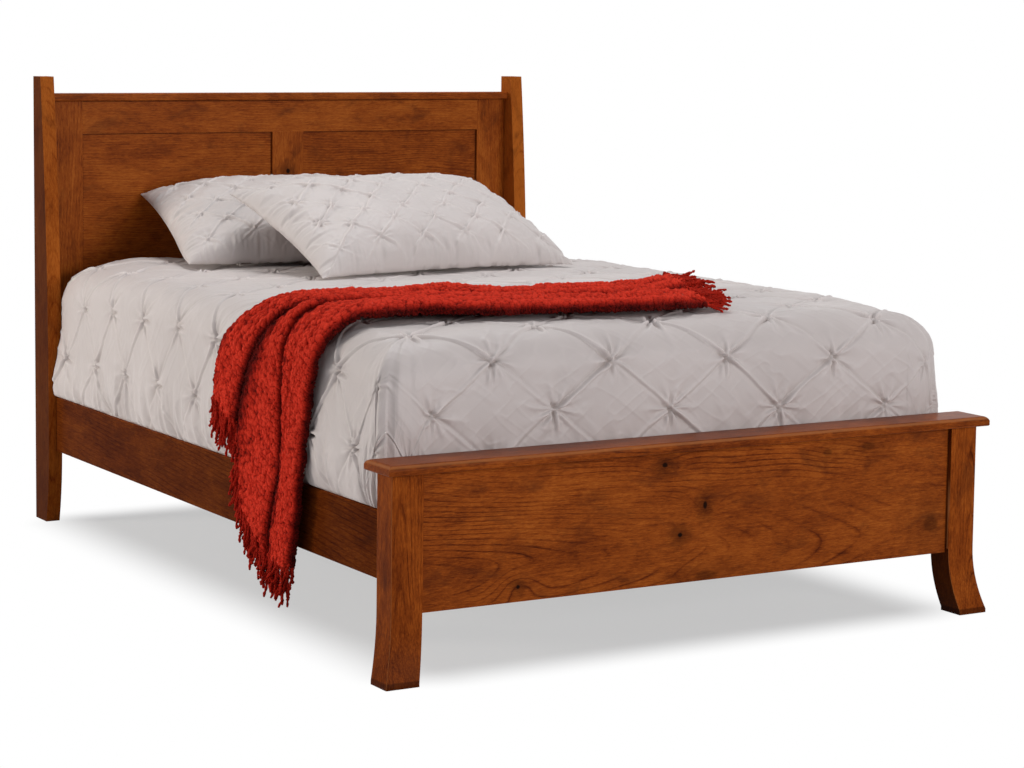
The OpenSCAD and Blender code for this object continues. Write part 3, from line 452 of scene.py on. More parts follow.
def value_noise(x, y, seed):
    ix, iy = np.floor(x), np.floor(y)
    ux, uy = (f * f * f * (f * (f * 6 - 15) + 10) for f in (x - ix, y - iy))
    a, b = hashed(ix, iy, seed), hashed(ix + 1, iy, seed)
    c, d = hashed(ix, iy + 1, seed), hashed(ix + 1, iy + 1, seed)
    return (a * (1 - ux) + b * ux) * (1 - uy) + (c * (1 - ux) + d * ux) * uy


def fractal(x, y, seed, octaves=2):
    """Layered noise about zero, from -0.5 to 0.5."""
    total, norm = np.zeros_like(x, dtype=float), 0.0
    for k in range(octaves):
        total += 0.5 ** k * value_noise(x * 2 ** k, y * 2 ** k, seed + 17 * k)
        norm += 0.5 ** k
    return total / norm - 0.5


def unit(v):
    return np.clip(v, 0, 1)


def nubs(x, y, seed, jitter=0.75, reach=0.80):
    """Rounded bumps on a jittered grid: 1 at the middle of each, 0 in the gaps."""
    ix, iy = np.floor(x), np.floor(y)
    best = np.full(x.shape, 9.0)
    size = np.ones(x.shape)
    for dx in (-1, 0, 1):
        for dy in (-1, 0, 1):
            cx, cy = ix + dx, iy + dy
            px = cx + 0.5 + jitter * (hashed(cx, cy, seed) - 0.5)
            py = cy + 0.5 + jitter * (hashed(cx, cy, seed + 5) - 0.5)
            d = np.hypot(x - px, y - py)
            size = np.where(d < best, 0.55 + 0.45 * hashed(cx, cy, seed + 9), size)
            best = np.minimum(best, d)
    return size * (1 - unit(best / reach) ** 1.8)


def smooth(e0, e1, v):
    t = unit((v - e0) / (e1 - e0))
    return t * t * (3 - 2 * t)


def bell(v, middle, width):
    return np.exp(-((v - middle) / width) ** 2)


# ---- meshes from grids of points
def grid_quads(numbers):
    """Corners of each cell of a grid of point numbers, in turning order."""
    corners = (numbers[:-1, :-1], numbers[:-1, 1:], numbers[1:, 1:], numbers[1:, :-1])
    return np.stack([c.ravel() for c in corners], 1)


def set_relief_shade(me, values):
    at = me.attributes.new("depth", "FLOAT", "POINT")
    at.data.foreach_set("value", values.astype(np.float32))


def finish_mesh(me, material):
    me.shade_smooth()
    me.materials.append(material)
    me.update()


def grid_mesh(name, points, material, depth):
    """An object from an array rows x cols x 3 in metres."""
    rows, cols = points.shape[:2]
    faces = grid_quads(np.arange(rows * cols).reshape(rows, cols))
    me = bpy.data.meshes.new(name)
    me.from_pydata(points.reshape(-1, 3).tolist(), [], faces.tolist())
    set_relief_shade(me, depth.ravel())
    finish_mesh(me, material)
    return add_object(name, me)


# ---- sizes that part.scad also has
HEAD_FRONT_Y = 1036.0
RAIL_TOP = 367.0
FIT = 0.3
MATTRESS_X, MATTRESS_Y0, MATTRESS_TOP = 760.0, -987.0, 736.0
MATTRESS_W, MATTRESS_L = 2 * MATTRESS_X, 2030.0
QUILT_T, PUFF_H, SHOULDER_R, QUILT_SIDE = 18.0, 14.0, 95.0, 26.0
QUILT_TOP = MATTRESS_TOP + FIT + QUILT_T
QUILT_X = MATTRESS_X + QUILT_SIDE
QUILT_FOOT_Y = MATTRESS_Y0 - QUILT_T + FIT
QUILT_HEAD_Y = HEAD_FRONT_Y - 6
QUILT_CROWN = 8.0
QUILT_CREST = QUILT_TOP + QUILT_CROWN + PUFF_H
HEM_Z = RAIL_TOP + 2 * FIT
HEM_IN = 11.0
CORNER_SQUARE = 1.25
BEND_L = SHOULDER_R * math.pi / 2
DROP_L = QUILT_TOP - SHOULDER_R - HEM_Z
FLAT_X = QUILT_X - SHOULDER_R
FLAT_FOOT_Y = QUILT_FOOT_Y + SHOULDER_R
FLAT_L = QUILT_HEAD_Y - FLAT_FOOT_Y
HALF_CLOTH = FLAT_X + BEND_L + DROP_L
CLOTH_L = DROP_L + BEND_L + QUILT_HEAD_Y - FLAT_FOOT_Y
QUILT_COLS, QUILT_ROWS = 28, 40


# ---- tufts and creases
# Height that a sewn line keeps between tufts, and how round the puffs are
SEWN_H, PUFF_ROUND = 0.80, 2.6
# Share of a line, from its tufts on, along which its fold stands up
FOLD_REACH = 0.42
# Cell width for which the fans of creases round the tufts were drawn
FAN_CELL = 80
PINCH_R, KNOT_R = 11, 4.5
SLACK_BAND = 0.10
# How much the sewn lines wander, in waves to a column of the lattice
LINE_WAVES = 0.55


def crease_field(u, v, cell_u, cell_v, seed, ridge_w, bow=0.030, valley=0.75):
    """Height of the puffs, from 0 at a tuft to 1, and the sewn folds and creases round the tufts, on a lattice
    where u and v count its columns and rows. Cell sizes and widths are in millimetres."""
    p = (u + v) / 4 + bow * fractal(u * LINE_WAVES, v * LINE_WAVES, seed + 3) * 2
    q = (u - v) / 4 + bow * fractal(u * LINE_WAVES + 40, v * LINE_WAVES, seed + 5) * 2
    rp, rq = np.round(p), np.round(q)
    fp, fq = p - rp, q - rq
    tp, tq = np.abs(fp) * 2, np.abs(fq) * 2
    step = 2 / math.hypot(1 / cell_u, 1 / cell_v)
    # Across each sewn line in millimetres, and places relative to the nearest tuft
    dp, dq = fp * 2 * step, fq * 2 * step
    du, dv = (fp + fq) * 2 * cell_u, (fp - fq) * 2 * cell_v
    r = np.hypot(du, dv)
    th = np.arctan2(dv, du)
    line_p, line_q = (SEWN_H * unit(t) ** 0.5 for t in (tq, tp))
    puff_p, puff_q = (1 - (1 - t) ** PUFF_ROUND for t in (tp, tq))
    puff = (line_p + (1 - line_p) * puff_p) * (line_q + (1 - line_q) * puff_q)

    def sewn_fold(key, across, along, turns_at):
        """Every line differs, and each fold stands up most near its tufts."""
        aside = np.where(key > turns_at, ridge_w, -ridge_w)
        height = (0.36 + 0.64 * key) * (0.52 + 0.70 * bell(along, 0, FOLD_REACH))
        return height * (bell(across, 0.9 * aside, ridge_w) - valley * bell(across, -1.1 * aside, ridge_w))

    fold = sewn_fold(hashed(rp * 5 + 11, np.floor(q) * 7 + 3, seed + 11), dp, tq, 0.45) \
        + sewn_fold(hashed(rq * 5 + 11, np.floor(p) * 7 + 3, seed + 12), dq, tp, 0.55)
    # Creases that fan out from each tuft, coarse ones and fine ones
    k = hashed(rp * 3 + 1, rq * 3 + 2, seed + 21)
    k2 = hashed(rp * 3 + 7, rq * 3 + 5, seed + 22)
    coarse = 0.5 + 0.5 * np.cos(th * np.round(6 + 4 * k) + TURN * k2 + 0.9 * np.sin(2 * th + TURN * k))
    fan = (coarse ** 2.2 - 0.36) * smooth(3, 15, r) * bell(r, 0, 44 * cell_u / FAN_CELL + 10)
    fine = 0.5 + 0.5 * np.cos(th * np.round(13 + 5 * k2) + TURN * k)
    fan = fan + 0.40 * (fine ** 3 - 0.3) * smooth(5, 14, r) * bell(r, 0, 30 * cell_u / FAN_CELL + 6)
    # Slack folds drawn from tuft to tuft
    slack = -0.3
    for x, y, key, off in ((u + v, u - v, 31, tp), (u - v, u + v, 32, tq)):
        wave = np.abs(fractal(x * 1.9, y * 0.40, seed + key, 1))
        slack = slack + 10 * (SLACK_BAND - np.minimum(wave, SLACK_BAND)) * smooth(0.05, 0.4, off)
    return {"puff": puff, "fold": fold, "fan": fan, "pinch": -bell(r, 0, PINCH_R), "knot": bell(r, 0, KNOT_R),
            "slack": slack, "du": du, "dv": dv}


def relief(field, heights, sunk=0.0):
    return sum(height * field[part] for part, height in heights.items()) - sunk


# ---- comforter
# Where the lattice's first tufts fall, in columns and rows
TUFT_COL, TUFT_ROW = 0.3, -1
COVER_RIDGE_W = 3.9
# Heights of the parts of the crease field, and how far the sum of them is sunk
COVER_RELIEF, COVER_SUNK = {"fold": 8.2, "fan": 6.8, "pinch": 7.5, "knot": 4.5, "slack": 1.1}, 0.8
# Folds of the upright pucker at a tuft: place aside from it, width and share of the height
PUCKER_FOLDS, PUCKER_H = ((4.2, 3.9, 1.0), (-4.0, 3.5, -1.15), (-12.5, 4.2, 0.6)), 6.0
DEEPEST = -13.0
# How far its sides swell out at the head, how much more at the foot, how far it draws in at the head, and
# how far its foot corners and the sides of its head end slump
SIDE_SWELL, MORE_SWELL, HEAD_DRAW, CORNER_SLUMP, HEAD_SLUMP = 7.0, 9.0, 24.0, 17.0, 26.0
# How far down from the head end those reach
HEAD_REACH = 620
# Heights of the loose folds at the corners and of the gathers over the hem
LOOSE_H, GATHER_H = 15.0, 11.0
# Height, width and seed of the cover's slow unevenness
UNEVEN = ((6.0, 260.0, 81), (2.4, 75.0, 83))


def quilt_surface(nu, nv):
    """The comforter's points and tone: one cloth, a across from its middle, c down from its head end."""
    a, c = np.meshgrid(np.linspace(-HALF_CLOTH, HALF_CLOTH, nu), np.linspace(CLOTH_L, 0, nv))
    i = (a + HALF_CLOTH) / (2 * HALF_CLOTH) * QUILT_COLS
    j = QUILT_ROWS * (1 - c / CLOTH_L)
    # Lengths of cloth past the flat top's edge at a side and at the foot, and the way it turns down there
    s = np.maximum(0, np.abs(a) - FLAT_X)
    t = np.maximum(0, c - FLAT_L)
    past = np.maximum(s, t)
    safe_s, safe_t = np.where(s > 0, s, 1), np.where(t > 0, t, 1)
    turn = np.where(past == 0, 0, np.where(t <= s, 45 * t / safe_s, 90 - 45 * s / safe_t))
    tr = np.radians(turn)
    side = np.where(a < 0, -1.0, 1.0)
    both = (s > 0) & (t > 0)
    foot = t > s
    wx = side * np.where(s == 0, 0, np.where(t == 0, 1, np.minimum(1, CORNER_SQUARE * np.cos(tr))))
    wy = np.where(t == 0, 0, np.where(s == 0, -1, -np.minimum(1, CORNER_SQUARE * np.sin(tr))))
    at_x = side * np.minimum(np.abs(a), FLAT_X)
    at_y = QUILT_HEAD_Y - np.minimum(c, FLAT_L)
    tilt = np.radians(np.clip(90 * past / BEND_L, 0, 90))
    drop = np.maximum(0, past - BEND_L)
    fdrop = unit(drop / DROP_L)
    swell = ((SIDE_SWELL + MORE_SWELL * smooth(300, 1500, c)) * np.sin(np.pi * fdrop ** 1.6)
             - HEM_IN * fdrop ** 6) * np.where(foot, 0.3, 1.0)
    out0 = SHOULDER_R * np.sin(tilt) + swell * (past > BEND_L)
    crown = np.where(past > 0, 0, QUILT_CROWN * np.cos(np.pi / 2 * a / FLAT_X)
                     * np.sin(np.pi * np.minimum(c / CLOTH_L + 0.1, 1)))
    up0 = QUILT_TOP - SHOULDER_R * (1 - np.cos(tilt)) - drop + crown

    # The lattice lies a little askew towards the foot
    askew = (0.72 * a / 1000 - 0.17) * smooth(900, 1800, c)
    col, row = i + TUFT_COL, j + TUFT_ROW + askew
    f = crease_field(col, row, 2 * HALF_CLOTH / QUILT_COLS, CLOTH_L / QUILT_ROWS, 7, COVER_RIDGE_W)
    corner = smooth(-40, 90, np.minimum(s, t)) * both
    gathered = 1 - 0.55 * corner
    over = smooth(0.15 * BEND_L, 1.1 * BEND_L, past)
    reach = 1 - np.where(foot, 0.40, 0.15) * over
    # Uneven fullness from one diamond to the next
    full = 0.90 + 0.30 * fractal(i * 0.33, j * 0.33, 91)
    h = 0.74 * PUFF_H * gathered * reach * f["puff"] * np.minimum(1.0, full)
    # A short upright pucker below and above each tuft
    down = smooth(2, 9, -f["dv"]) * smooth(64, 16, -f["dv"])
    rise = 0.6 * smooth(2, 9, f["dv"]) * smooth(44, 12, f["dv"])
    lean = 0.20 * f["dv"] * (hashed(np.round(col / 2), np.round(row / 2), 17) - 0.5)
    aside = f["du"] + lean
    pleats = sum(share * bell(aside, place, width) for place, width, share in PUCKER_FOLDS)
    stitched = (relief(f, COVER_RELIEF, COVER_SUNK) + PUCKER_H * pleats * (down + rise)) * gathered
    h = h + stitched
    # Loose upright folds where the two drops meet
    h = h + corner * (LOOSE_H * fractal(turn / 17.0, drop / 260.0, 71) + LOOSE_H / 5)
    # Gathers that run from the lowest tufts down to the hem
    run = np.where(foot, a, c)
    lowest = smooth(0.30, 0.90, fdrop)
    pleat = np.abs(fractal(run / 58.0 + 0.5 * fractal(run / 200.0, fdrop, 61), fdrop * 0.7, 55)) * 2
    gathers = lowest * (GATHER_H * (0.5 - np.minimum(pleat, 0.5)) * 2 - GATHER_H / 2)
    h = h + gathers
    # Slow unevenness of the whole cover
    for height, width, seed in UNEVEN:
        h = h + height * fractal(a / width, c / width, seed)
    # It stays within the CAD's cover, with a rounded limit
    limit = PUFF_H + 0.2 - np.where(foot, 3.0, -0.3) * over
    h = np.where(h > limit - 2, limit - 2 + 2 * np.tanh((h - limit + 2) / 2), h)
    h = np.maximum(h, DEEPEST)
    h = h * unit((DROP_L - drop) / 8.0)
    # It draws in at the head, and its two foot corners and the head's sides slump
    head = smooth(0, 40, c)
    drawn = HEAD_DRAW * smooth(HEAD_REACH, 60, c) * (1 - smooth(0.30, 1.0, fdrop)) * (s > 0)
    beyond = np.abs(a) - FLAT_X
    near_corner = smooth(-280, 80, beyond) * smooth(-280, 80, c - FLAT_L)
    at_head = smooth(HEAD_REACH, 80, c)
    slump = CORNER_SLUMP * near_corner + at_head * (
        HEAD_SLUMP * smooth(-130, 70, beyond) - 6.0 * bell(beyond, -150, 90))
    x = at_x + wx * (out0 - drawn * np.sin(tilt) + h * np.sin(tilt))
    y = np.where(c <= 0, QUILT_HEAD_Y, at_y + wy * (out0 + h * np.sin(tilt)))
    z = up0 + h * np.cos(tilt) * head + (1 - head) * h * 0.4 * np.cos(tilt) - slump * (1 - fdrop)
    z = np.where(drop >= DROP_L - 0.01, HEM_Z, z)
    # Painted shade in the cover's folds and round its tufts, and painted highlight on its ridges, from how far
    # it stands out
    tone = unit(0.5 + (stitched + 0.6 * gathers) / 16.0)
    return np.stack([x, y, z], 2) * MM, tone


# ---- pillows
PILLOW_L, PILLOW_D, PILLOW_T, PILLOW_DRAW = 845.0, 520.0, 215.0, 0.045
PILLOW_COLS, PILLOW_ROWS = 24, 16
SHAM_RIDGE_W, SHAM_BOW, SHAM_VALLEY = 3.4, 0.085, 0.15
SHAM_RELIEF, SHAM_SUNK = {"fold": 10.5, "fan": 5.0, "pinch": 2.0, "knot": 5.0, "slack": 1.0}, 2.6
# Heights of the parts of the crease field that paint shade into a sham's folds and tufts and a highlight on its
# ridges
SHAM_FOLD_SHADE = {"fold": 9.0, "fan": 5.0, "pinch": 3.0}
# Heights of the gathers at the seam and of a face's unevenness
SEAM_H, FACE_H = 12.0, (13.0, 3.4)
# Middle, turn seen from above, tilt back, seed, and how far the low left corner stands out
PILLOWS = {
    "pillow_left": ((-97.0, 818.5, QUILT_CREST + 84.1), -9.0, 19.0, 5, -0.040),
    "pillow_right": ((42.0, 453.5, QUILT_CREST + 97.6), 6.0, 22.0, 9, 0.016),
}
OTHER_EARS = 0.013


def pillow_half(nu, nv, face, seed, ear):
    """Points and tone of a pillow's upper face, or of its lower one for a face of -1, about its middle."""
    # Closer rows near the seam
    u, v = (np.sin(w * math.pi / 2) * 0.35 + w * 0.65
            for w in np.meshgrid(np.linspace(-1, 1, nu), np.linspace(-1, 1, nv)))
    au, av = np.abs(u), np.abs(v)
    edge = np.maximum(0, (1 - au ** 3) * (1 - av ** 3))
    full = 0.55 * edge ** 0.5 if face > 0 else 0.2 * edge ** 0.7
    blunt = 1 + np.where((u < 0) & (v < 0), ear, OTHER_EARS) * (au * av) ** 5
    x = PILLOW_L / 2 * u * (1 - PILLOW_DRAW * (1 - v * v)) * blunt
    y = PILLOW_D / 2 * v * (1 - 1.4 * PILLOW_DRAW * (1 - u * u)) * blunt
    i, j = (u + 1) / 2 * PILLOW_COLS, (v + 1) / 2 * PILLOW_ROWS
    f = crease_field(i, j, PILLOW_L / PILLOW_COLS, PILLOW_D / PILLOW_ROWS, seed,
                     SHAM_RIDGE_W, SHAM_BOW, SHAM_VALLEY)
    near = np.minimum(1, 3 * edge)
    h = PILLOW_T * full - (6.0 if face > 0 else 4.2) * (1 - f["puff"]) * near
    d = relief(f, SHAM_RELIEF, SHAM_SUNK) * near
    # Gathers that run in from the seam, and slow unevenness of the whole face
    rim = bell(np.maximum(au, av), 1, 0.15)
    along = np.where(au * PILLOW_L > av * PILLOW_D + 300, v * PILLOW_D, u * PILLOW_L) / 2
    d = d + rim * SEAM_H * fractal(along / 19.0, u * 0 + seed, seed + 3) * 2 * (edge > 0)
    d = d + FACE_H[0] * fractal(x / 120.0, y / 120.0, seed + 9) * near \
        + FACE_H[1] * fractal(x / 38.0, y / 38.0, seed + 13) * near
    d = np.minimum(d, (7.5 if face > 0 else -0.2) * near)
    z = np.where(edge <= 1e-9, 0, face * np.maximum(0, h + d))
    # Painted shade in the sham's folds and at its tufts, and painted highlight on its ridges
    tone = 0.54 + np.maximum(relief(f, SHAM_FOLD_SHADE) * near / 18.0, -0.22)
    return np.stack([x, y, z], 2), unit(tone)


def build_pillow(name, material):
    """A closed sham: its two faces share the points of the seam."""
    nu, nv = ((281, 181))
    at, turn, tilt, seed, ear = PILLOWS[name]
    m = np.array(Matrix.Translation(Vector(at) * MM) @ Matrix.Rotation(math.radians(turn), 4, "Z")
                 @ Matrix.Rotation(math.radians(tilt), 4, "X"))
    halves = [pillow_half(nu, nv, 1, seed, ear), pillow_half(nu, nv, -1, seed + 30, ear)]
    verts = np.concatenate([pts.reshape(-1, 3) * MM @ m[:3, :3].T + m[:3, 3] for pts, _ in halves])
    top = np.arange(nu * nv).reshape(nv, nu)
    low = top + nu * nv
    low[0], low[-1], low[:, 0], low[:, -1] = top[0], top[-1], top[:, 0], top[:, -1]
    faces = np.concatenate([grid_quads(top), grid_quads(low)[:, ::-1]])
    me = bpy.data.meshes.new(name)
    me.from_pydata(verts.tolist(), [], faces.tolist())
    set_relief_shade(me, np.concatenate([tone.ravel() for _, tone in halves]))
    bm = bmesh.new()
    bm.from_mesh(me)
    bmesh.ops.delete(bm, geom=[v for v in bm.verts if not v.link_faces], context="VERTS")
    bm.to_mesh(me)
    bm.free()
    finish_mesh(me, material)
    return add_object(name + "_sham", me)


# ---- throw
THROW_R = SHOULDER_R + QUILT_CROWN + PUFF_H + FIT
THROW_BEND_L = THROW_R * math.pi / 2
# Where its right end starts across the bed, at its front edge and at its back edge
THROW_START = (0.1 * MATTRESS_W, 0.29 * MATTRESS_W)
# Its width while it lies flat, as a share of the mattress's length
THROW_SHARE = 0.225
# Places of the two deep grooves between its folds, as shares of its width, for shares of its length
GROOVE_F = (0, 0.5, 0.62, 0.69, 0.735, 0.80, 0.89, 1)
GROOVE_FRONT = (0.47, 0.47, 0.47, 0.46, 0.41, 0.36, 0.27, 0.26)
GROOVE_BACK = (0.72, 0.71, 0.66, 0.62, 0.65, 0.70, 0.70, 0.70)
# Front edge and back edge along the bed, as shares of the mattress's length, for shares of its length
FRONT_F = (0, 0.15, 0.25, 0.4, 0.45, 0.55, 0.75, 1)
FRONT_Y = (-0.44, -0.45, -0.422, -0.412, -0.375, -0.38, -0.333, -0.292)
BACK_F = (0, 0.15, 0.25, 0.42, 0.5, 0.7, 0.82, 0.93, 1)
BACK_Y = (-0.14, -0.225, -0.2, -0.225, -0.155, -0.182, -0.168, -0.086, -0.072)
# Its low end, as a share of the rail's height, for shares of its width
LOW_P = (0, 0.25, 0.30, 0.50, 0.58, 0.64, 0.70, 1)
LOW_Z = (0.465, 0.485, 0.57, 0.69, 0.92, 1.09, 1.31, 1.50)
# Widths of a large nub along the throw and across it, and of a small one
NUB_L, NUB_W, SMALL_NUB = 9.8, 10.2, 5.4
# Heights of the large nubs, the small ones and the tufts, and how far the sum of them is sunk
NUB_H, SMALL_NUB_H, TUFT_H, KNIT_SUNK = 8.5, 3.6, 6.0, 5.6
# Heights of the grooves' floor and of the rolls over it, and the least and most with the yarn
GROOVE_H, ROLL_H, THROW_LEAST, THROW_MOST = 2, 28, 1.2, 38.0
# How far the low end wavers, and how far the rows of nubs do
LOW_WAVER, ROW_WAVER = 16.0, 9.0


def soft_lookup(x, xs, ys, blur=0.035):
    """A table read with its corners rounded."""
    return sum(np.interp(unit(x + k * blur), xs, ys) for k in (-1, -0.5, 0, 0.5, 1)) / 5


def throw_surface(nu, nv):
    """Rows run along the throw from its right end, columns across it from the front edge to the back edge."""
    p, k = np.meshgrid(np.linspace(0, 1, nu), np.linspace(0, 1, nv))
    x0 = THROW_START[0] + (THROW_START[1] - THROW_START[0]) * p
    flat = x0 + FLAT_X
    drop = QUILT_TOP - SHOULDER_R - RAIL_TOP * soft_lookup(p, LOW_P, LOW_Z, 0.02) \
        + LOW_WAVER * fractal(p * 17.0, p * 0, 39)
    total = flat + THROW_BEND_L + drop
    run = total * k
    s = run - flat
    f = run / total
    y = MATTRESS_L * (soft_lookup(f, FRONT_F, FRONT_Y) * (1 - p) + soft_lookup(f, BACK_F, BACK_Y) * p)
    tilt = np.radians(np.clip(90 * s / THROW_BEND_L, 0, 90))
    # Three long rolls side by side, between the grooves g0 and g1, and lesser creases g2 and g3
    g0 = soft_lookup(f, GROOVE_F, GROOVE_FRONT) + 0.045 * fractal(f * 14, p * 0, 41)
    g1 = soft_lookup(f, GROOVE_F, GROOVE_BACK) + 0.045 * fractal(f * 14, p * 0, 43)
    g2 = 0.20 + 0.03 * np.sin(f * 8 + 2) + 0.04 * fractal(f * 12, p * 0, 47)
    g3 = 0.85 + 0.02 * np.sin(f * 11) + 0.03 * fractal(f * 12, p * 0, 49)
    t = np.where(p < g0, p / g0, np.where(p < g1, (p - g0) / (g1 - g0), (p - g1) / (1 - g1)))
    wide = np.where(p < g0, g0, np.where(p < g1, g1 - g0, 1 - g1))
    lean = unit(t + 0.22 * np.sin(np.pi * t))
    roll = np.maximum(0, 1 - np.abs(2 * lean - 1) ** (3.0 + 9 * wide)) ** 0.62
    weak = np.minimum(1, (np.minimum(np.abs(p - g2), np.abs(p - g3)) + 0.003) / 0.035) ** 0.8
    held = smooth(-0.22, 0.10, fractal(f * 6.0, p * 3.0, 57))
    weak = 1 - (1 - weak) * held
    # The back groove closes on top of the bed
    shut = 0.65 * (1 - smooth(0.46, 0.58, f)) * bell(p, g1, 0.09)
    roll = roll + (1 - roll) * shut
    lump = 0.80 + 0.55 * fractal(f * 8, p * 6, 51)
    rise = GROOVE_H + ROLL_H * roll * np.minimum(1.08, lump) * (0.72 + 0.28 * weak)
    # Looped yarn: rounded nubs in loose rows along it
    across = p * MATTRESS_L * THROW_SHARE
    sway = ROW_WAVER * fractal(run / 45.0, across / 40.0, 21)
    sway2 = ROW_WAVER * fractal(run / 40.0, across / 45.0, 25)
    nub = nubs((run + sway2) / NUB_L, (across + sway) / NUB_W, 23)
    small = nubs((run - sway) / SMALL_NUB, (across + sway2) / SMALL_NUB, 29)
    tuft = fractal(run / 22.0, across / 22.0, 31)
    knit = NUB_H * nub + SMALL_NUB_H * small + TUFT_H * tuft - KNIT_SUNK
    # Painted shade in the gaps between the nubs and in the grooves between the rolls
    depth = unit(1.2 * (nub - 0.1) + 0.34 * (small - 0.35) + 0.5 * tuft)
    depth = depth * (0.04 + 0.96 * unit(1.9 * roll - 0.78)) * (0.5 + 0.5 * weak)
    r = THROW_R + np.clip(rise + knit, THROW_LEAST, THROW_MOST)
    x = np.where(s <= 0, x0 - run, -FLAT_X - r * np.sin(tilt))
    z = QUILT_TOP - SHOULDER_R + np.where(s >= THROW_BEND_L, THROW_BEND_L - s, r * np.cos(tilt))
    # Its long edges waver
    rim = np.exp(-(np.minimum(p, 1 - p) / 0.035) ** 2)
    y = y + rim * (9.0 * fractal(run / 15.0, p * 0, 33) + 12.0 * fractal(run / 60.0, p * 0, 35))
    return np.stack([x, y, z], 2) * MM, depth


STRANDS, STRAND_POINTS = 4, 17
YARN_R, YARN_SUNK = 0.0027, 0.010
# Spreads of a tassel's way, of a strand's way, and of its sag, wave, root and points
TASSEL_WAY, STRAND_WAY, SAG, WAVE, ROOT, POINT = 0.075, 0.055, 0.007, 0.0035, 0.0026, 0.0008


def fringe(points, outward, seed, count, length, name, material):
    """Tassels of looped yarn along a line of points. outward is their way out."""
    rng = np.random.default_rng(seed)
    outward = np.array(outward)
    dist = np.concatenate([[0], np.cumsum(np.linalg.norm(np.diff(points, axis=0), axis=1))])
    cu = bpy.data.curves.new(name, "CURVE")
    cu.dimensions = "3D"
    cu.bevel_depth = YARN_R
    cu.bevel_resolution = 1
    for k in range(count):
        d = dist[-1] * (k + 0.5 + rng.uniform(-0.3, 0.3)) / count
        p = np.array([np.interp(d, dist, points[:, c]) for c in range(3)])
        lay = rng.normal(0, TASSEL_WAY, 3)
        reach = length * rng.uniform(0.65, 1.1)
        for strand in range(STRANDS):
            way = outward + lay + rng.normal(0, STRAND_WAY, 3) * (0.5 if strand == 0 else 1.3)
            way = way / np.linalg.norm(way)
            sag = rng.normal(0, SAG, 3)
            wag, phase, curl = rng.normal(0, WAVE, 3), rng.uniform(0, TURN), rng.uniform(4, 9)
            sp = cu.splines.new("POLY")
            sp.points.add(STRAND_POINTS - 1)
            ln = reach * rng.uniform(0.7, 1.05)
            base = p - outward * YARN_SUNK + rng.normal(0, ROOT, 3)
            for m in range(STRAND_POINTS):
                u = m / (STRAND_POINTS - 1)
                q = base + way * ln * u + sag * u * u + wag * math.sin(curl * u + phase) * u \
                    + rng.normal(0, POINT, 3)
                sp.points[m].co = (*q, 1)
                # Thick and thin in turn, as looped yarn is, and thicker at the knot
                swell = (1.45 if m % 2 else 0.85) * (1.25 if m < 3 else 1.0)
                sp.points[m].radius = swell * rng.uniform(0.85, 1.15)
    cu.materials.append(material)
    return add_object(name, cu)


# ==== build the looks
STEEL = steel_material()
GLIDE = plastic_material()
TICKING = ticking_material()
SATEEN = sateen_material("sateen_cover", COVER_TINT)
SHAM = sateen_material("sateen_sham", SHAM_TINT)
KNIT = knit_material("red_knit")
YARN = knit_material("red_yarn", 0.36)

# Knots of the footboard panel and of the headboard's middle stile
FOOT_KNOTS = ((-0.102, 0.441, 0.008, 0.006, 0.95, 0.030), (-0.056, 0.271, 0.007, 0.006, 1.0, -0.035),
              (0.014, 0.337, 0.006, 0.009, 0.95, 0.035), (-0.498, 0.191, 0.005, 0.005, 0.95, 0.030),
              (0.496, 0.443, 0.020, 0.009, 0.40, 0.015), (0.373, 0.437, 0.014, 0.008, 0.40, 0.015),
              (0.018, 0.169, 0.030, 0.010, 0.35, 0.012), (0.700, 0.235, 0.022, 0.020, 0.45, 0.020))
MULLION_KNOTS = ((1.007, 0.0, 0.007, 0.006, 0.95, 0.02),)
# Figure, darkness, gloss, painted shade on the faces square to X, height of the painted shade at the floor,
# and the middle of the face and its place across
POSTS = {
    "headboard_post_left": (0.8, -0.26, 0.12, 0.78, 0.0, (-0.80, 1.0)),
    "headboard_post_right": (0.8, -0.42, 0.12, 0.0, 0.0, (0.80, 1.0)),
    "footboard_post_left": (1.0, 0.07, 0.4, 0.0, 0.013, (-0.80, -1.13)),
    "footboard_post_right": (1.5, -0.03, 0.4, 0.62, 0.013, (0.80, -1.13)),
}
STILE_DARK = {"headboard_stile_left": -0.08, "headboard_stile_right": -0.13, "headboard_mullion": -0.16}
# Widths of the eased edges
POST_EASE, FOOT_POST_EASE, FRAME_EASE, PANEL_EASE = 0.0022, 0.0024, 0.0007, 0.0004
HEAD_CAP_EASE, FOOT_PANEL_EASE, FOOT_CAP_EASE = 0.0016, 0.0012, 0.0014
CLEAT_EASE, PINE_EASE = 0.0012, 0.0016


def end(node, axis, pick):
    """An axis and how far a node reaches along it, in metres. pick is min or max."""
    return axis, pick(v.co["XYZ".index(axis)] for v in NODES[node].data.vertices)


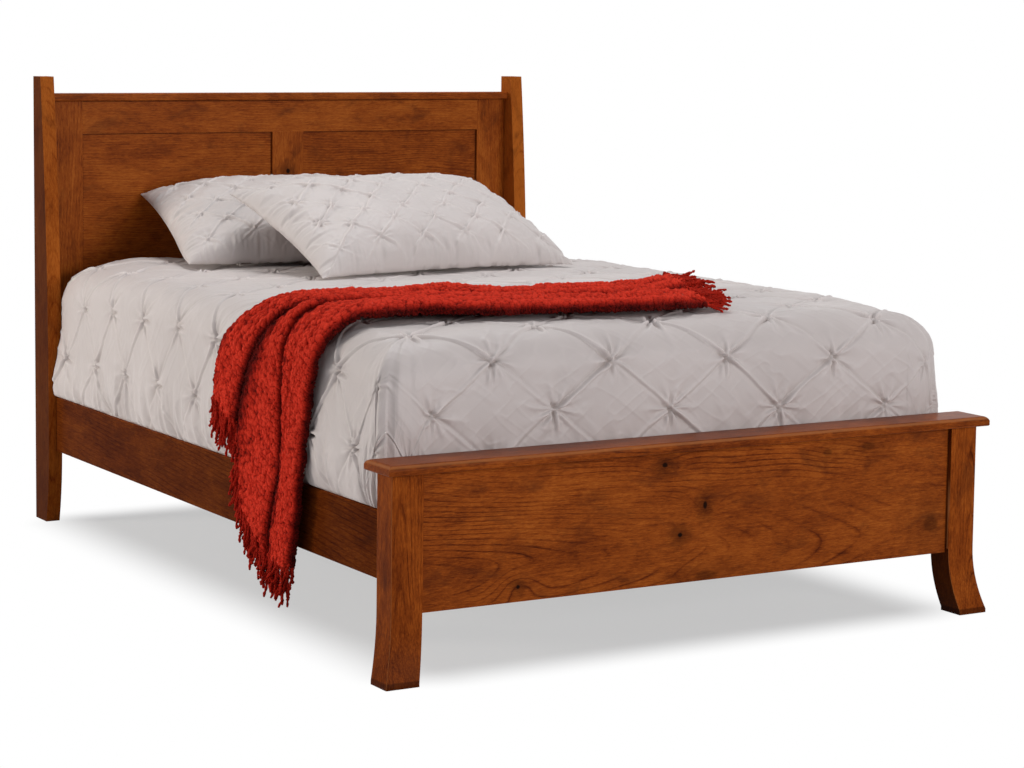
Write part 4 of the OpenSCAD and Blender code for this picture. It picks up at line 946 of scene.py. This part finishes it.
def make_wood():
    # The lines given here are corners along which shade is painted: under the caps and the top rail, and beside
    # the stiles, mullion and posts
    under_rail = end("headboard_top_rail", "Z", min)
    across = wood_material("across", "X", "Z", 1.3, dark=-0.20, lines=(end("headboard_cap", "Z", min),))
    panel_l = wood_material("panel_left", "X", "Z", 4.1, 1.2, -0.10, lines=(
        under_rail, end("headboard_stile_left", "X", max), end("headboard_mullion", "X", min)))
    panel_r = wood_material("panel_right", "X", "Z", 7.7, 1.2, -0.03, lines=(
        under_rail, end("headboard_mullion", "X", max), end("headboard_stile_right", "X", min)))
    foot_panel = wood_material(
        "foot_panel", "X", "Z", 2.2, 1.35, -0.04, knots=FOOT_KNOTS,
        lines=(end("footboard_cap", "Z", min), end("footboard_post_left", "X", max),
               end("footboard_post_right", "X", min)),
        at=(0.235, end("footboard_panel", "Y", min)[1]), heart=0.095, slope=0.11, rings=100.0)
    # The foot cap and the posts get a painted highlight on their upper arrises
    cap = wood_material("cap", "X", "Y", 5.6, 0.9, 0.08, arris_highlight=(0.36, 0.60, 0.45))
    head_cap = wood_material("head_cap", "X", "Y", 6.6, 0.8, -0.06)
    for k, (node, (figure, dark, gloss, x_face_shade, band, at)) in enumerate(POSTS.items()):
        post = wood_material("post_%d" % k, "Z", "X", 8.4 + 1.9 * k, figure, dark, gloss=gloss,
                             x_face_shade=x_face_shade, band=band, at=at, heart=0.018, slope=0.030, rings=170.0,
                             arris_highlight=(0.46, 0.60, 0.60))
        eased(node, post, FOOT_POST_EASE if band else POST_EASE, 3)
    for node in ("headboard_top_rail", "headboard_bottom_rail"):
        eased(node, across, FRAME_EASE)
    for k, (node, dark) in enumerate(STILE_DARK.items()):
        knots = MULLION_KNOTS if node == "headboard_mullion" else ()
        eased(node, wood_material("stile_%d" % k, "Z", "X", 15.2 + 2.3 * k, 1.0, dark, knots), FRAME_EASE)
    eased("headboard_panel_left", panel_l, PANEL_EASE)
    eased("headboard_panel_right", panel_r, PANEL_EASE)
    eased("headboard_cap", head_cap, HEAD_CAP_EASE)
    eased("footboard_panel", foot_panel, FOOT_PANEL_EASE)
    eased("footboard_cap", cap, FOOT_CAP_EASE)
    # The rails get painted shade on their faces square to X
    for k, node in enumerate(("side_rail_left", "side_rail_right")):
        rail = wood_material("rail_%d" % k, "Y", "Z", 22.2 + 1.1 * k, dark=0.03, gloss=0.10,
                             x_face_shade=0.60)
        eased(node, rail, POST_EASE, 3)


def make_pine_and_fittings():
    pine_y = pine_material("pine_along", "Y", "X")
    pine_x = pine_material("pine_across", "X", "Y")
    pine_z = pine_material("pine_upright", "Z", "X")
    for node in ("rail_cleat_left", "rail_cleat_right"):
        eased(node, pine_y, CLEAT_EASE)
    for k in range(1, 6):
        eased("slat_%d" % k, pine_x, PINE_EASE)
    for k in range(1, 4):
        eased("centre_leg_%d" % k, pine_z, PINE_EASE)
        paint("glide_%d" % k, GLIDE)
    paint("cap_dowels", pine_z)
    for node in ("rail_hooks", "hook_sockets", "plate_screws", "slat_screws", "leg_inserts"):
        paint(node, STEEL)
    for node in ("foundation", "mattress"):
        paint(node, TICKING)


def make_comforter():
    cells = 22
    pts, tone = quilt_surface(QUILT_COLS * cells + 1, QUILT_ROWS * cells + 1)
    quilt = grid_mesh("comforter_cover", pts, SATEEN, tone)
    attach(quilt, "sleeping_surface")
    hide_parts("comforter")


def make_pillows():
    for pillow, body in (("pillow_left", "rear_pillow"), ("pillow_right", "front_pillow")):
        sham = build_pillow(pillow, SHAM)
        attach(sham, body)
        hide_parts(pillow)


def make_throw():
    pts, depth = throw_surface(*(((231, 761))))
    blanket = grid_mesh("throw_knit", pts[:, ::-1], KNIT, depth[:, ::-1])
    thick = blanket.modifiers.new("cloth", "SOLIDIFY")
    thick.thickness = 0.0045
    thick.offset = -1.0
    low_fringe = fringe(pts[-1], (-0.03, 0.0, -1.0), 3, 84, 0.100, "throw_fringe_low", YARN)
    end_fringe = fringe(pts[0], (0.93, -0.26, -0.20), 4, 58, 0.085, "throw_fringe_end", YARN)
    for ob in (blanket, low_fringe, end_fringe):
        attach(ob, "blanket")
    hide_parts("throw")


# ---- floor, world, lamps, camera
FLOOR_HALF = 60.0
# Where the floor starts to go over into plain white, across and along the bed, and over what length
FADE_FROM, FADE_OVER = (0.64, 1.0), (0.27, 0.21)
# Name, place, aim, width, power, colour and height of each lamp
LAMPS = (
    ("top", (0.5, 0.9, 5.6), (0.0, 0.0, 0.5), 2.0, 118, (1, 1, 1), 2.0),
    ("left", (-5.6, 2.4, 2.0), (-0.5, -0.1, 0.5), 1.6, 158, (1.0, 0.945, 0.87), 1.4),
    ("front", (3.4, -11.0, 3.0), (0, 0, 0.6), 4.4, 500, (1.0, 0.97, 0.965), 2.8),
)
# The camera fitted to the photograph: the picture's size, focal length and axis in pixels, then the
# camera's place, turn to the right, downward pitch and roll
PHOTO_W, PHOTO_H, FOCAL_PX, AXIS_PX = 1024, 768, 2636.5, (493.8, 300)
SENSOR = 36.0
CAMERA_AT = (-3.5225, -6.146, 1.4571)
YAW, PITCH, ROLL = 0.5299, 0.1039, 0.0114


def seen_plainly(t):
    """1 for a ray that the camera sees, 0 for light that bounces."""
    out = put(t, "LightPath").outputs
    return maths(t, "MAXIMUM", out["Is Camera Ray"],
                 maths(t, "MAXIMUM", out["Is Glossy Ray"], out["Is Transmission Ray"]))


def make_floor():
    s = FLOOR_HALF
    me = bpy.data.meshes.new("floor")
    me.from_pydata([(-s, -s, 0), (s, -s, 0), (s, s, 0), (-s, s, 0)], [], [(0, 1, 2, 3)])
    ob = add_object("floor", me)
    mat, t = new_material("floor_white")
    seen = seen_plainly(t)
    grey = put(t, "BsdfDiffuse", {"Color": (0.25, 0.245, 0.248, 1), "Roughness": 0.0})
    glow = put(t, "Emission", {"Color": (1, 1, 1, 1), "Strength": mul(t, seen, 0.500)})
    near = put(t, "AddShader", {0: grey, 1: glow})
    # Far from the bed the floor goes over into plain white, as the backdrop does
    axes = object_axes(t)
    past = [maths(t, "MAXIMUM", mul_add(t, maths(t, "ABSOLUTE", axes[axis]), 1 / over, -start / over), 0.0)
            for axis, start, over in zip("XY", FADE_FROM, FADE_OVER)]
    far = maths(t, "SQRT", sum_of_squares(t, *past))
    blend = put(t, "MapRange", {0: far, 1: 0.0, 2: 1.0, 3: 0.0, 4: 1.0},
                interpolation_type="SMOOTHSTEP")
    white = put(t, "Emission", {"Color": (1, 1, 1, 1), "Strength": seen})
    dull = put(t, "BsdfDiffuse", {"Color": (0.80, 0.79, 0.795, 1)})
    backdrop = put(t, "MixShader", {0: seen, 1: dull, 2: white})
    mixed = put(t, "MixShader", {0: blend, 1: near, 2: backdrop})
    put(t, "OutputMaterial", {0: mixed})
    me.materials.append(mat)


def make_world():
    w = bpy.data.worlds.new("studio")
    bpy.context.scene.world = w
    w.use_nodes = True
    t = w.node_tree
    t.nodes.clear()
    ambient = put(t, "Background", {"Color": (0.93, 0.95, 1.0, 1), "Strength": 0.26})
    white = put(t, "Background", {"Color": (1, 1, 1, 1), "Strength": 1.0})
    m = put(t, "MixShader", {0: seen_plainly(t), 1: ambient, 2: white})
    put(t, "OutputWorld", {0: m})


def make_lamp(name, at, aim, width, power, colour, height):
    d = bpy.data.lights.new(name, "AREA")
    d.energy = power
    d.color = colour
    d.shape = "RECTANGLE"
    d.size = width
    d.size_y = height
    ob = add_object(name, d)
    ob.location = at
    ob.rotation_mode = "QUATERNION"
    ob.rotation_quaternion = (Vector(aim) - Vector(at)).to_track_quat("-Z", "Y")


def make_camera():
    data = bpy.data.cameras.new("camera")
    data.sensor_fit = "HORIZONTAL"
    data.sensor_width = SENSOR
    data.lens = FOCAL_PX / PHOTO_W * SENSOR
    data.shift_x = (PHOTO_W / 2 - AXIS_PX[0]) / PHOTO_W
    data.shift_y = (AXIS_PX[1] - PHOTO_H / 2) / PHOTO_W
    data.clip_start = 0.1
    data.clip_end = 200
    cam = add_object("camera", data)
    fwd = Vector((math.sin(YAW) * math.cos(PITCH), math.cos(YAW) * math.cos(PITCH), -math.sin(PITCH)))
    right = Vector((math.cos(YAW), -math.sin(YAW), 0.0))
    up = right.cross(fwd)
    rolled_right = right * math.cos(ROLL) + up * math.sin(ROLL)
    rolled_up = up * math.cos(ROLL) - right * math.sin(ROLL)
    m = Matrix((rolled_right, rolled_up, -fwd)).transposed().to_4x4()
    m.translation = CAMERA_AT
    cam.matrix_world = m
    bpy.context.scene.camera = cam


make_wood()
make_pine_and_fittings()
make_comforter()
make_pillows()
make_throw()
make_floor()
make_world()
for lamp in LAMPS:
    make_lamp(*lamp)
make_camera()
bpy.context.scene.view_settings.view_transform = "Standard"

bpy.context.view_layer.update()
